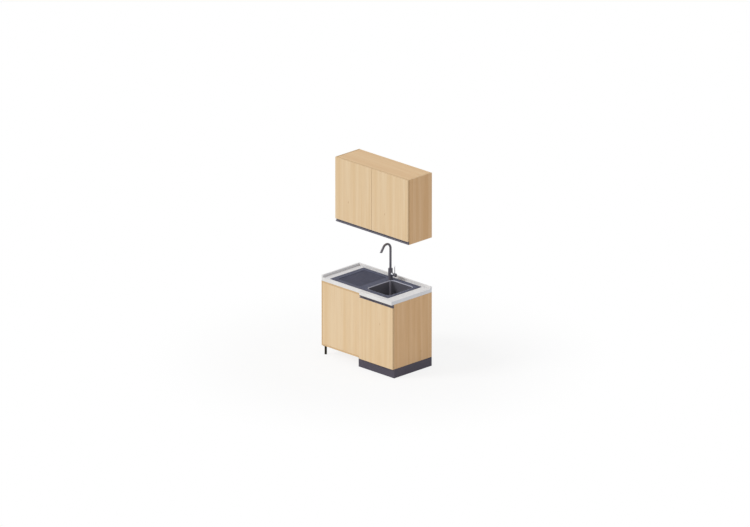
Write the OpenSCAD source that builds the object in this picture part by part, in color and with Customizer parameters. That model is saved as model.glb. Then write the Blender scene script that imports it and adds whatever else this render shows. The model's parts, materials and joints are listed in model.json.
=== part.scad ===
// Corner kitchen run: a sink base unit with a blind corner half and a wall unit above it.
// X runs along the wall, Y towards the wall, Z up. The origin is on the floor, under the middle of the run.
// Round parts are true cylinders and arcs; u, v are distances in from a unit's side and out from its front.

/* [Run] */
// Width of the base unit and of the wall unit
unit_w = 1080; // [1060:10:1160]
// Thickness of the carcass boards
board_t = 18; // [16:1:19]
// Thickness of the back panels
back_t = 4; // [3:1:6]
// Depth of the hollow behind the back panels
back_inset = 18; // [16:1:24]
// Height of the legs under the base unit
leg_h = 100; // [80:5:150]
// Height of the base unit's carcass
base_h = 720; // [700:10:780]
// Depth of the base unit's carcass
base_d = 560; // [560:5:600]
// Clear height between the worktop and the wall unit
splash_h = 570; // [480:10:700]
// Height of the wall unit
wall_h = 720; // [600:20:900]
// Depth of the wall unit's carcass
wall_d = 335; // [300:5:380]
// Height of the shelf above the wall unit's bottom board
shelf_up = 335; // [200:5:450]
// Depth of the front rail under the worktop
rail_d = 46; // [40:1:48]
// Height of the back rail
back_rail_h = 100; // [80:5:140]
// Width of the corner post, front to back
post_d = 46; // [36:2:46]

/* [Doors] */
// Thickness of the doors
door_t = 19; // [18:1:22]
// Gap between a closed door and the carcass
door_gap = 3; // [2.8:0.1:3.4]
// Gap between a door's hinged edge and the unit's outer side
edge_gap = 2; // [1.6:0.1:2.4]
// Gap between the two wall doors
centre_gap = 3; // [3:0.5:6]
// Width of the base unit's door
base_door_w = 500; // [460:5:520]
// How far the base door laps over the blind panel
door_lap = 20; // [14:1:24]
// Height of the strip that the handle takes from each door
handle_zone = 36; // [34:1:44]
// Height of the handle profile
handle_h = 34; // [30:1:34]
// Depth of the handle profile
handle_d = 11; // [10:0.5:14]
// Wall of the handle profile
handle_wall = 2; // [1.6:0.2:2.4]
// Height of the finger opening in the handle profile
grip_h = 15; // [12:1:18]
// Depth of the tongue that holds the profile in the door's edge
tongue_d = 10; // [8:1:14]
// Thickness of that tongue
tongue_t = 3; // [2.4:0.2:4]
// Diameter of the door buffers
buffer_d = 8; // [6:1:10]

/* [Concealed hinges] */
// Diameter of the hinge cup
cup_d = 35; // [34.6:0.2:35.4]
// Depth of the hinge cup
cup_depth = 12.5; // [12:0.5:13.5]
// Wall of the hinge cup
cup_wall = 1.2; // [1:0.1:1.2]
// Distance of the cup's centre from the door's edge
cup_edge = 22.5; // [22.3:0.1:22.8]
// Distance of the hinges from the door's ends
hinge_end = 100; // [80:5:160]
// Distance of the hinge plates' screws from the carcass front
system_line = 37; // [35:1:40]
// Spacing of the two screws of a hinge plate
system_pitch = 32; // [28:1:36]
// Diameter of the hinge pins
pin_d = 3; // [2.6:0.2:3.2]
// Width of the hinge links
link_w = 8; // [6:0.5:8]
// Thickness of the hinge links
link_t = 1.8; // [1.4:0.2:2]
// Sheet thickness of the hinge arms
arm_t = 1.5; // [1.2:0.1:1.6]

/* [Plinth and legs] */
// Length of the front plinth board, from the right side
plinth_w = 528; // [500:4:560]
// Thickness of the plinth boards
plinth_t = 16; // [12:1:19]
// Diameter of the legs
leg_d = 25; // [20:1:26]
// Height of the levelling foot
foot_h = 12; // [8:1:20]
// Diameter of the foot's screw
foot_screw_d = 10; // [8:1:12]
// Diameter of the flange on top of each leg
leg_flange_d = 58; // [50:2:60]

/* [Worktop] */
// Thickness of the worktop
worktop_t = 40; // [38:1:50]
// How far the worktop stands over the carcass front
overhang = 40; // [30:2:60]
// Distance of the worktop's step from the base door's free edge
step_in = 22; // [10:1:30]
// Height of the upstands
upstand_h = 25; // [15:1:40]
// Thickness of the upstands
upstand_t = 20; // [16:1:26]

/* [Sink] */
// Distance of the sink from the left end of the worktop
sink_left = 107; // [90:1:130]
// Distance of the sink from the right end of the worktop
sink_right = 113; // [90:1:130]
// Distance of the sink from the carcass front
sink_front = 20; // [18:1:26]
// Distance of the sink from the wall
sink_back = 40; // [38:1:50]
// Height of the sink's edge above the worktop
rim_h = 4; // [3:0.5:6]
// Wall of the sink
sink_wall = 8; // [6:0.5:10]
// How far the sink's edge laps over the cut-out
rim_lap = 12; // [10:1:16]
// Inner width of the bowl
bowl_w = 325; // [300:5:340]
// Depth of the bowl below the sink's top
bowl_depth = 190; // [160:5:210]
// Radius of the bowl's upright corners
bowl_r = 45; // [40:1:60]
// Distance of the bowl from the sink's right edge
bowl_right = 45; // [42:1:60]
// Distance of the bowl from the sink's front edge
bowl_front = 55; // [50:1:64]
// Distance of the bowl from the sink's back edge
bowl_back = 70; // [60:1:80]
// Width of the land between the bowl and the drainer
land_w = 94; // [88:1:120]
// Depth of the drainer's recess
drainer_depth = 4; // [3:0.5:5]
// Distance of the drainer from the sink's left edge
drainer_left = 66; // [50:2:80]
// Distance of the drainer from the sink's front edge
drainer_front = 48; // [40:1:60]
// Distance of the drainer from the sink's back edge
drainer_back = 52; // [44:1:64]
// Height of the ribs in the drainer
rib_h = 1.6; // [1:0.2:2.4]
// Spacing of those ribs
rib_pitch = 36; // [28:1:50]
// Diameter of the waste hole in the bowl
waste_d = 90; // [84:1:96]
// Diameter of the waste pipe
pipe_d = 40; // [36:1:44]
// Wall of the waste pipe
pipe_wall = 2; // [1.6:0.1:3]
// Depth of the trap's outlet below the waste housing
outlet_drop = 102; // [90:1:130]
// Diameter of the trap's cup
trap_d = 76; // [70:1:84]
// Diameter of the overflow pipe
overflow_d = 22; // [20:1:24]

/* [Tap] */
// Distance of the tap's axis from the bowl's left edge
tap_side = 23; // [21:1:28]
// Distance of the tap from the sink's back edge
tap_back = 68; // [60:1:69]
// Diameter of the tap's body
tap_d = 50; // [44:1:54]
// Height of the tap's body
tap_h = 124; // [110:2:150]
// Diameter of the spout's tube
spout_d = 25; // [22:1:28]
// Height of the straight part of the spout above the sink
spout_rise = 348; // [300:4:400]
// Radius of the spout's bend
spout_r = 58; // [50:2:80]
// Angle through which the spout bends
spout_bend = 145; // [140:5:170]
// Length of the straight end of the spout
spout_tip = 60; // [48:2:70]
// Height of the lever's axis above the sink
lever_up = 65; // [56:1:75]
// Distance of the lever's ball from the tap's axis
lever_out = 73; // [71:1:80]
// Diameter of the lever's ball
ball_d = 39; // [36:1:40]
// Diameter of the lever's stick
stick_d = 9; // [7:0.5:10]
// Length of the stick above the ball's middle
stick_l = 102; // [80:2:120]
// Diameter of the threaded shank under the tap
shank_d = 32; // [28:1:34]

/* [Hidden] */
$fn = 64;

// Colours of the real finishes
board_wood = "#dec29d";
side_wood = "#d6bc98";
hardboard = "#e9e6df";
dark_alu = "#57545c";
worktop_grey = "#d8d7d5";
sink_stone = "#52515d";
tap_black = "#4f4d54";
steel = "#b9babd";
plastic_white = "#e4e4e2";
plastic_dark = "#332e21";
beech = "#d9b98a";

// Clearances: a running fit, a loose fit, a fit between face and face, and a saw-cut groove
run_fit = 0.05;
slip = 0.1;
seat = 0.3;
groove = 6;
eps = 0.01;

// Planes of the run
half_w = unit_w / 2;
total_d = base_d + overhang;
wall_y = total_d / 2;
front_y = wall_y - base_d;
in_x = half_w - board_t;
base_top = leg_h + base_h;
worktop_top = base_top + worktop_t;
wall_z = worktop_top + splash_h;
wall_top_z = wall_z + wall_h;
wall_front_y = wall_y - wall_d;
panel_back_y = wall_y - back_inset;
panel_front_y = panel_back_y - back_t;

// Doors: edges of the base door, width of a wall door, and the ends of all three upright
base_door_right = half_w - edge_gap;
base_door_left = base_door_right - base_door_w;
base_door_top = base_top - handle_zone;
wall_door_w = half_w - edge_gap - centre_gap / 2;
wall_door_foot = wall_z + handle_zone;
blind_right = base_door_left + door_lap;
door_face = door_gap + door_t;

// Joints between the boards: dowels and cam fittings
dowel_d = 8;
dowel_in = 12;
dowel_out = 23;
cam_d = 15;
cam_h = 13;
cam_reach = 34;
bolt_d = 6;
bolt_in = 11;

// Sink: its edges, its cut-out and its hollows
sink_x0 = -half_w + sink_left;
sink_x1 = half_w - sink_right;
sink_y0 = front_y + sink_front;
sink_y1 = wall_y - sink_back;
sink_top = worktop_top + rim_h;
deck_under = sink_top - sink_wall;
sink_corner_r = 8;
edge_rib_h = 24;
edge_rib_t = 6;
cut_gap = 2;
cut_r = 10;
bowl_x1 = sink_x1 - bowl_right;
bowl_x0 = bowl_x1 - bowl_w;
bowl_y0 = sink_y0 + bowl_front;
bowl_y1 = sink_y1 - bowl_back;
bowl_floor = sink_top - bowl_depth;
bowl_under = bowl_floor - sink_wall;
drainer_x0 = sink_x0 + drainer_left;
drainer_x1 = bowl_x0 - land_w;
drainer_y0 = sink_y0 + drainer_front;
drainer_y1 = sink_y1 - drainer_back;
drainer_r = 24;
rib_w = 8;
rib_end = 26;

// Waste: under the middle of the bowl, out to the wall
waste_x = (bowl_x0 + bowl_x1) / 2;
waste_y = (bowl_y0 + bowl_y1) / 2;
waste_lip_d = waste_d + 22;
waste_lip_t = 2;
waste_cup_h = 44;
waste_collar_t = 6;
waste_body_wall = 3;
waste_inlet_l = 18;
waste_ring_w = 4;
waste_cup_foot = bowl_under - waste_cup_h;
inlet_z = bowl_under - waste_cup_h / 2;
outlet_z = waste_cup_foot - outlet_drop;
tail_h = 34;
tail_d = pipe_d - 2 * pipe_wall - 2 * slip;
trap_top = waste_cup_foot - tail_h;
trap_wall = 3;
trap_head_d = pipe_d + 2 * trap_wall;
trap_neck_h = 12;
trap_shoulder = outlet_z - trap_head_d / 2 - trap_neck_h;
trap_skirt_h = 14;
trap_outlet_l = 24;
trap_sump_h = 6;
nut_lip = 3;
spigot_l = 50;
bead_w = 4;
bead_h = 2;
trap_cup_h = 74;
nut_h = 16;
nut_wall = 6;
overflow_wall = 1.8;
overflow_down = 52;
overflow_out = 24;
overflow_r = 18;

// Tap: its axis, its hub and its lever
tap_x = bowl_x0 - tap_side;
tap_y = sink_y1 - tap_back;
tap_z = sink_top;
tap_bore = 46;
hub_d = 34;
hub_end = lever_out - ball_d / 2 - 1.5;
cartridge_d = 26;
cartridge_back = 22;
spindle_d = 8;
knuckle_w = 7;
lever_pin_d = 4;
lever_tilt = 25;
stick_back = 9;
spout_wall = 2.2;
mouth_step = 0.2;
mouth_back = 2;
aerator_h = 14;
aerator_in = 6;
shank_l = 42;
inlet_gap = 14;
inlet_d = 9;
inlet_l = 30;
cartridge_floor = 8;
stick_foot = 12;
tip_z = spout_rise + spout_r * sin(spout_bend) - spout_tip * cos(180 - spout_bend);
tip_y = spout_r * (1 - cos(spout_bend)) + spout_tip * sin(180 - spout_bend);

// Hinges: pivots of the link in the arm and in the cup, as distances u, v
cup_u = edge_gap + cup_edge;
arm_pin = [edge_gap + cup_edge + 4.5, door_gap + 4];
cup_pin = [edge_gap + cup_edge - 12, door_gap + 3];
link_bow = 3.5;
barrel_r = pin_d / 2 + 0.8;
arm_r = 3.2;
flange_t = 1.2;
plate_t = 2.5;
plate_w = 14;
plate_wing = 12;
plate_front = 18;
plate_rear = 16;
plate_screw_d = 5;
plate_screw_l = 10;
arm_back = 58;
ear_t = 3;
ear_h = 54;
ear_l = 14;
base_hinge_z = [leg_h + hinge_end, base_door_top - hinge_end];
wall_hinge_z = [wall_door_foot + hinge_end, wall_top_z - hinge_end];

// Places of the legs: x, y, and the direction in degrees of the plinth clip, where there is one
leg_inset = 60;
corner_leg = [33, 29];
mid_leg_in = 56;
mid_leg_x = half_w - plinth_w + mid_leg_in;
leg_places = [
    [-half_w + corner_leg[0], front_y + corner_leg[1]],
    [-half_w + corner_leg[0], wall_y - leg_inset],
    [mid_leg_x, front_y + leg_inset, -90],
    [mid_leg_x, wall_y - leg_inset],
    [half_w - leg_inset, front_y + leg_inset, -90],
    [half_w - leg_inset, wall_y - leg_inset, 0]];
leg_flange_t = 4;
leg_bore_end = 20;
foot_screw_end = 30;
clip_ring_t = 3;
clip_h = 18;
clip_z = 46;
clip_arm_w = 8;
clip_pad_w = 40;
clip_pad_t = 4;
plinth_h = leg_h - 1;

// A block between two corners
module block(lo, hi) {
    translate(lo) cube(hi - lo);
}

// A flat rectangle with round corners, from one corner to the other
module round_rect(lo, hi, r) {
    translate([lo[0] + r, lo[1]]) square([hi[0] - lo[0] - 2 * r, hi[1] - lo[1]]);
    translate([lo[0], lo[1] + r]) square([hi[0] - lo[0], hi[1] - lo[1] - 2 * r]);
    for (x = [lo[0] + r, hi[0] - r], y = [lo[1] + r, hi[1] - r]) translate([x, y]) circle(r);
}

// A prism of such a rectangle between two heights
module round_block(lo, hi, r, z0, z1) {
    translate([0, 0, z0]) linear_extrude(z1 - z0) round_rect(lo, hi, r);
}

// A rod along X, Y or Z from a point
module rod_x(from, d, l) { translate(from) rotate([0, 90, 0]) cylinder(d = d, h = l); }
module rod_y(from, d, l) { translate(from) rotate([-90, 0, 0]) cylinder(d = d, h = l); }
module rod_z(from, d, l) { translate(from) cylinder(d = d, h = l); }

// A hollow pipe along Z
module pipe_z(from, d, wall, l) {
    difference() {
        rod_z(from, d, l);
        rod_z(from - [0, 0, 1], d - 2 * wall, l + 2);
    }
}

// A bend of such a pipe about Z, from +X
module pipe_bend(d, wall, r, angle) {
    rotate_extrude(angle = angle) translate([r, 0]) difference() {
        circle(d = d);
        circle(d = d - 2 * wall);
    }
}

// Turns u, v distances at one side of a unit into the run's X and Y: side is 1 on the right, -1 on the left
module at_edge(side, unit_front) {
    translate([side * half_w, unit_front, 0]) {
        if (side > 0) rotate([0, 0, 180]) children();
        else mirror([0, 1, 0]) children();
    }
}

// Ends of the boards that meet the sides: y and z of each dowel, and of each cam bolt
dowel_front = 36;
dowel_back = 50;
dowel_rail = 30;
dowel_end = 26;
cam_front = 84;
cam_back = 100;
post_dowel_end = 60;
base_mid_y = (front_y + panel_front_y) / 2;
wall_mid_y = (wall_front_y + panel_front_y) / 2;
back_rail_y = wall_y - back_inset / 2;
base_dowel_yz = [
    [front_y + dowel_front, leg_h + board_t / 2], [base_mid_y, leg_h + board_t / 2],
    [panel_front_y - dowel_back, leg_h + board_t / 2], [front_y + dowel_rail, base_top - board_t / 2],
    [back_rail_y, base_top - dowel_end], [back_rail_y, base_top - back_rail_h + dowel_end]];
wall_dowel_yz = [for (z = [wall_z, wall_top_z - board_t],
    y = [wall_front_y + dowel_front, wall_mid_y, panel_front_y - dowel_back]) [y, z + board_t / 2]];
cam_yz = [[front_y + cam_front, leg_h], [panel_front_y - cam_back, leg_h],
    [wall_front_y + cam_front, wall_z], [panel_front_y - cam_back, wall_z],
    [wall_front_y + cam_front, wall_top_z - board_t], [panel_front_y - cam_back, wall_top_z - board_t]];
post_dowel_z = [leg_h + board_t + post_dowel_end, (leg_h + base_top) / 2,
    base_top - board_t - post_dowel_end];

// All dowels: gap is 0 for the dowels and the clearance for their holes
module dowels(gap = 0) {
    for (side = [-1, 1], yz = concat(base_dowel_yz, wall_dowel_yz)) {
        x0 = side > 0 ? in_x - dowel_out - gap : -in_x - dowel_in - gap;
        rod_x([x0, yz[0], yz[1]], dowel_d + 2 * gap, dowel_in + dowel_out + 2 * gap);
    }
    for (z = post_dowel_z) {
        rod_y([blind_right - board_t / 2, front_y + board_t - dowel_d - gap, z],
            dowel_d + 2 * gap, dowel_d + dowel_out + 2 * gap);
    }
}

// The cam discs and their bolts, or with a gap their holes
module cams(gap = 0) {
    for (side = [-1, 1], yz = cam_yz) {
        x_disc = side * (in_x - cam_reach);
        bolt_l = bolt_in + cam_reach - cam_d / 2 - seat;
        x0 = side > 0 ? in_x + bolt_in - bolt_l - gap : -in_x - bolt_in - gap;
        rod_z([x_disc, yz[0], yz[1] - eps * gap], cam_d + 2 * gap, cam_h + gap);
        rod_x([x0, yz[0], yz[1] + board_t / 2], bolt_d + 2 * gap, bolt_l + 2 * gap);
    }
}

// Takes the holes of the dowels and cams out of a board
module drilled() {
    difference() {
        children();
        dowels(slip);
        cams(slip);
    }
}

// The groove that a back panel stands in, all round inside a unit
module back_groove(z0, z1) {
    block([-in_x - groove, panel_front_y - slip, z0 - groove], [in_x + groove, panel_back_y + slip, z1]);
}

// A side board of a unit, drilled for the hinge plates where it carries a door
module side_board(side, unit_front, z0, z1, hinge_z, groove_top) {
    x0 = side > 0 ? in_x : -half_w;
    difference() {
        drilled() block([x0, unit_front, z0], [x0 + board_t, wall_y, z1]);
        back_groove(z0 + board_t, groove_top);
        at_edge(side, unit_front) for (z = hinge_z) plate_screws(z, slip);
    }
}

// Base unit carcass

module base_side_left() {
    color(board_wood) side_board(-1, front_y, leg_h, base_top, [], base_top + eps);
}

module base_side_right() {
    color(side_wood) side_board(1, front_y, leg_h, base_top, base_hinge_z, base_top + eps);
}

module base_bottom() {
    color(board_wood) difference() {
        drilled() block([-in_x, front_y, leg_h], [in_x, wall_y, leg_h + board_t]);
        back_groove(leg_h + board_t, base_top);
    }
}

module base_front_rail() {
    color(board_wood)
        drilled() block([-in_x, front_y, base_top - board_t], [in_x, front_y + rail_d, base_top]);
}

module base_back_rail() {
    color(board_wood)
        drilled() block([-in_x, panel_back_y, base_top - back_rail_h], [in_x, wall_y, base_top]);
}

// The service opening in the back panel leaves the waste pipe and the water connections room
service_w = 420;
service_h = 260;
service_below = 70;
service_z = outlet_z - service_below;
service_r = 20;

module base_back_panel() {
    color(hardboard) difference() {
        block([-in_x - groove + slip, panel_front_y, leg_h + board_t - groove + slip],
            [in_x + groove - slip, panel_back_y, base_top]);
        translate([0, panel_back_y + eps, 0]) rotate([90, 0, 0])
            linear_extrude(back_t + 2 * eps) round_rect([waste_x - service_w / 2, service_z],
                [waste_x + service_w / 2, service_z + service_h], service_r);
    }
}

module blind_panel() {
    color(board_wood) drilled() block([-in_x, front_y, leg_h + board_t],
        [blind_right, front_y + board_t, base_top - board_t]);
}

module corner_post() {
    color(board_wood) drilled() block([blind_right - board_t, front_y + board_t, leg_h + board_t],
        [blind_right, front_y + board_t + post_d, base_top - board_t]);
}

module carcass_dowels() {
    color(beech) dowels();
}

module cam_fittings() {
    color(steel) cams();
}

// Legs and plinth

module legs() {
    color(plastic_dark) for (p = leg_places) translate([p[0], p[1], 0]) difference() {
        union() {
            rod_z([0, 0, foot_h + seat], leg_d, leg_h - foot_h - seat);
            intersection() {
                rod_z([0, 0, leg_h - leg_flange_t], leg_flange_d, leg_flange_t);
                translate([0, 0, leg_h - leg_flange_t]) linear_extrude(leg_flange_t)
                    square([leg_flange_d, 2 * corner_leg[1] - 2], center = true);
            }
        }
        rod_z([0, 0, foot_h], foot_screw_d + 2 * slip, leg_h - foot_h - leg_bore_end);
    }
}

module leg_feet() {
    color(plastic_dark) for (p = leg_places) translate([p[0], p[1], 0]) {
        rod_z([0, 0, 0], leg_d, foot_h);
        rod_z([0, 0, foot_h - eps], foot_screw_d, leg_h - foot_h - foot_screw_end);
    }
}

module plinth_front() {
    color(dark_alu)
        block([half_w - plinth_w, front_y, 0], [half_w, front_y + plinth_t, plinth_h]);
}

module plinth_side() {
    color(dark_alu)
        block([half_w - plinth_t, front_y + plinth_t, 0], [half_w, wall_y, plinth_h]);
}

// A clip snaps round a leg and holds the plinth board at its back
module plinth_clips() {
    reach = leg_inset - plinth_t;
    color(plastic_dark) for (p = leg_places) if (len(p) > 2) {
        translate([p[0], p[1], clip_z]) rotate([0, 0, p[2]]) difference() {
            union() {
                rod_z([0, 0, 0], leg_d + 2 * clip_ring_t, clip_h);
                block([0, -clip_arm_w / 2, 0], [reach, clip_arm_w / 2, clip_h]);
                block([reach - clip_pad_t, -clip_pad_w / 2, 0], [reach, clip_pad_w / 2, clip_h]);
            }
            rod_z([0, 0, -eps], leg_d + 2 * slip, clip_h + 2 * eps);
            block([-leg_d, -leg_d / 3, -eps], [0, leg_d / 3, clip_h + eps]);
        }
    }
}

// Worktop

// The cut-out for the sink, just larger than the rib under the sink's edge
module sink_cut_out() {
    round_rect([sink_x0 + rim_lap, sink_y0 + rim_lap], [sink_x1 - rim_lap, sink_y1 - rim_lap], cut_r);
}

module worktop() {
    step_x = base_door_left + step_in;
    color(worktop_grey) translate([0, 0, base_top]) linear_extrude(worktop_t) difference() {
        polygon([[-half_w, wall_y], [-half_w, front_y], [step_x, front_y],
            [step_x, front_y - overhang], [half_w, front_y - overhang], [half_w, wall_y]]);
        sink_cut_out();
    }
}

module upstand_back() {
    color(worktop_grey)
        block([-half_w, wall_y - upstand_t, worktop_top], [half_w, wall_y, worktop_top + upstand_h]);
}

module upstand_left() {
    color(worktop_grey) block([-half_w, front_y, worktop_top],
        [-half_w + upstand_t, wall_y - upstand_t, worktop_top + upstand_h]);
}

// Sink

// Outline of the bowl's hollow, or with a wall of its outside
module bowl_outline(wall = 0) {
    round_rect([bowl_x0 - wall, bowl_y0 - wall], [bowl_x1 + wall, bowl_y1 + wall], bowl_r + wall);
}

// The overflow opens in the bowl's right wall, under its edge
overflow_z = sink_top - overflow_down;

// The low ribs of the drainer, as many as its length holds
module drainer_ribs() {
    l = drainer_y1 - drainer_y0;
    count = floor((l - 2 * rib_end) / rib_pitch);
    first = drainer_y0 + (l - count * rib_pitch) / 2;
    for (i = [0:count]) round_block([drainer_x0 + rib_end, first + i * rib_pitch - rib_w / 2],
        [drainer_x1 - rib_end, first + i * rib_pitch + rib_w / 2], rib_w / 2 - eps,
        sink_top - drainer_depth - eps, sink_top - drainer_depth + rib_h);
}

module sink() {
    rib = rim_lap + cut_gap;
    color(sink_stone) difference() {
        union() {
            round_block([sink_x0, sink_y0], [sink_x1, sink_y1], sink_corner_r, worktop_top, sink_top);
            round_block([sink_x0 + rib, sink_y0 + rib], [sink_x1 - rib, sink_y1 - rib], cut_r - cut_gap,
                worktop_top - edge_rib_h, worktop_top + eps);
            translate([0, 0, bowl_under]) linear_extrude(sink_top - bowl_under - eps)
                bowl_outline(sink_wall);
        }
        difference() {
            round_block([sink_x0 + rib + edge_rib_t, sink_y0 + rib + edge_rib_t],
                [sink_x1 - rib - edge_rib_t, sink_y1 - rib - edge_rib_t], cut_gap + eps,
                worktop_top - edge_rib_h - eps, deck_under - drainer_depth);
            translate([0, 0, bowl_under - eps]) linear_extrude(sink_top) bowl_outline(sink_wall);
        }
        translate([0, 0, bowl_floor]) linear_extrude(bowl_depth + 1) bowl_outline();
        round_block([drainer_x0, drainer_y0], [drainer_x1, drainer_y1], drainer_r,
            sink_top - drainer_depth, sink_top + 1);
        rod_z([waste_x, waste_y, bowl_under - 1], waste_d, sink_wall + 2);
        rod_z([waste_x, waste_y, bowl_floor - waste_lip_t], waste_lip_d + 2 * slip, waste_lip_t + 1);
        rod_x([bowl_x1 - 1, waste_y, overflow_z], overflow_d, sink_wall + 2);
        rod_z([tap_x, tap_y, tap_z - sink_wall - drainer_depth - 1], shank_d + 2 * slip,
            sink_wall + drainer_depth + 2);
    }
    color(sink_stone) drainer_ribs();
}

// Steel clips that draw the sink down: each stands at the rib and grips the worktop from below
clip_w = 22;
clip_t = 2;
clip_up = 28;
clip_end = 120;
module sink_clip() {
    u = rim_lap + cut_gap + edge_rib_t + seat;
    foot_z = -worktop_t - seat;
    rotate([90, 0, 0]) translate([0, 0, -clip_w / 2]) linear_extrude(clip_w) union() {
        translate([u, foot_z]) square([clip_t, clip_up]);
        translate([0, foot_z - clip_t]) square([u + clip_t, clip_t]);
    }
}

module sink_clips() {
    color(steel) {
        for (y = [sink_y0 + clip_end, sink_y1 - clip_end]) {
            translate([sink_x0, y, worktop_top]) sink_clip();
            translate([sink_x1, y, worktop_top]) mirror([1, 0, 0]) sink_clip();
        }
        for (x = [sink_x0 + clip_end, drainer_x1 - clip_w, bowl_x1 - clip_end])
            translate([x, sink_y1, worktop_top]) rotate([0, 0, -90]) sink_clip();
    }
}

// The steel ring in the bowl's floor, and the housing under it
module waste_flange() {
    color(steel) translate([waste_x, waste_y, 0]) difference() {
        union() {
            rod_z([0, 0, bowl_floor - waste_lip_t], waste_lip_d, waste_lip_t);
            rod_z([0, 0, bowl_under], waste_d - 2 * slip, sink_wall - waste_lip_t + eps);
        }
        rod_z([0, 0, bowl_under - 1], waste_d - 2 * waste_ring_w, sink_wall + 2);
    }
}

module waste_body() {
    color(plastic_white) translate([waste_x, waste_y, 0]) difference() {
        union() {
            rod_z([0, 0, bowl_under - waste_collar_t], waste_lip_d, waste_collar_t);
            rod_z([0, 0, waste_cup_foot], waste_d, waste_cup_h);
            rod_z([0, 0, waste_cup_foot - tail_h], tail_d, tail_h + eps);
            rod_x([0, 0, inlet_z], overflow_d + 2 * pipe_wall, waste_d / 2 + waste_inlet_l);
        }
        rod_z([0, 0, waste_cup_foot + waste_body_wall], waste_d - 2 * waste_body_wall, waste_cup_h);
        rod_z([0, 0, waste_cup_foot - tail_h - 1], tail_d - 2 * pipe_wall, tail_h + waste_body_wall + 2);
        rod_x([0, 0, inlet_z], overflow_d + 2 * slip, waste_d / 2 + waste_inlet_l + 1);
    }
}

// The basket that catches scraps and closes the waste: it hangs by its rim and lifts out by its knob
basket_d = waste_d - 12;
basket_h = 30;
basket_t = 1.5;
basket_rim = 2;
basket_holes = 10;
basket_hole_d = 7;
knob_d = 18;
knob_t = 6;
knob_neck_d = 8;
knob_down = 2;
module strainer_basket() {
    color(steel) translate([waste_x, waste_y, bowl_floor]) difference() {
        union() {
            rod_z([0, 0, seat], waste_d + 2 * basket_rim, basket_t);
            rod_z([0, 0, -basket_h], basket_d, basket_h + seat + eps);
        }
        difference() {
            rod_z([0, 0, basket_t - basket_h], basket_d - 2 * basket_t, basket_h + knob_t);
            rod_z([0, 0, -basket_h], knob_neck_d, basket_h - knob_down - knob_t / 2);
            rod_z([0, 0, -knob_down - knob_t], knob_d, knob_t);
        }
        for (i = [0:basket_holes - 1]) rotate([0, 0, i * 360 / basket_holes])
            rod_z([basket_d / 3, 0, -basket_h - 1], basket_hole_d, basket_t + 2);
    }
}

// The overflow pipe: a rosette in the bowl, a bend down and a bend in to the waste
rosette_w = 5;
rosette_nut_w = 7;
rosette_nut_t = 4;
rosette_t = 2;
module overflow_pipe() {
    x_wall = bowl_x1 + sink_wall;
    x_down = x_wall + overflow_out;
    x_in = waste_x + waste_d / 2 + waste_body_wall;
    x0 = bowl_x1 - rosette_t;
    r = overflow_r;
    d = overflow_d - 2 * slip;
    bore = d - 2 * overflow_wall;
    color(plastic_white) {
        difference() {
            union() {
                rod_x([x0, waste_y, overflow_z], d, x_down - r - x0);
                rod_x([x0, waste_y, overflow_z], d + 2 * rosette_w, rosette_t - seat);
                rod_x([x_wall + seat, waste_y, overflow_z], d + 2 * rosette_nut_w, rosette_nut_t);
            }
            rod_x([x0 - 1, waste_y, overflow_z], bore, x_down - r - x0 + 2);
        }
        translate([x_down - r, waste_y, overflow_z - r]) rotate([90, 0, 0])
            pipe_bend(d, overflow_wall, r, 90);
        pipe_z([x_down, waste_y, inlet_z + r], d, overflow_wall, overflow_z - inlet_z - 2 * r);
        translate([x_down - r, waste_y, inlet_z + r]) rotate([-90, 0, 0])
            pipe_bend(d, overflow_wall, r, 90);
        difference() {
            rod_x([x_in, waste_y, inlet_z], d, x_down - r - x_in);
            rod_x([x_in - 1, waste_y, inlet_z], bore, x_down - r - x_in + 2);
        }
    }
}

// The bottle trap: a head that takes the waste's tail and has the outlet at its back, and a screw cup
module trap_body() {
    color(plastic_white) translate([waste_x, waste_y, 0]) difference() {
        union() {
            rod_z([0, 0, trap_shoulder], trap_head_d, trap_top - trap_shoulder + tail_h / 2);
            rod_z([0, 0, trap_shoulder - trap_skirt_h], trap_d, trap_skirt_h + eps);
            rod_y([0, 0, outlet_z], trap_head_d, trap_d / 2 + trap_outlet_l);
        }
        rod_z([0, 0, trap_shoulder - trap_skirt_h - 1], trap_d - 2 * trap_wall,
            trap_skirt_h + 1 - trap_wall);
        rod_z([0, 0, trap_shoulder - trap_skirt_h], tail_d + 2 * slip,
            trap_top - trap_shoulder + trap_skirt_h + tail_h);
        rod_y([0, 0, outlet_z], pipe_d + 2 * slip, trap_d / 2 + trap_outlet_l + 1);
    }
}

module trap_cup() {
    top = trap_shoulder - trap_skirt_h;
    color(plastic_white) translate([waste_x, waste_y, 0]) difference() {
        union() {
            rod_z([0, 0, top - trap_cup_h], trap_d, trap_cup_h - seat);
            rod_z([0, 0, top - trap_cup_h - trap_sump_h], trap_d * 0.75, trap_sump_h + eps);
        }
        rod_z([0, 0, top - trap_cup_h + trap_wall], trap_d - 2 * trap_wall, trap_cup_h);
    }
}

// A nut lies round each joint of the trap: a wide bore over its pipe end and a lip over the smaller pipe
module waste_nut_bores(end) {
    rod_z([0, 0, -1], trap_head_d + 2 * slip, nut_h - nut_lip + 1);
    rod_z([0, 0, -1], end + 2 * slip, nut_h + 2);
}

module waste_nuts() {
    outer = trap_head_d + 2 * nut_wall;
    color(plastic_white) {
        translate([waste_x, waste_y, trap_top + tail_h / 2 + nut_lip + slip - nut_h]) difference() {
            rod_z([0, 0, 0], outer, nut_h);
            waste_nut_bores(tail_d);
        }
        translate([waste_x, waste_y + trap_d / 2 + trap_outlet_l + nut_lip + slip - nut_h, outlet_z])
            rotate([-90, 0, 0]) difference() {
                rod_z([0, 0, 0], outer, nut_h);
                waste_nut_bores(pipe_d);
            }
    }
}

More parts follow.
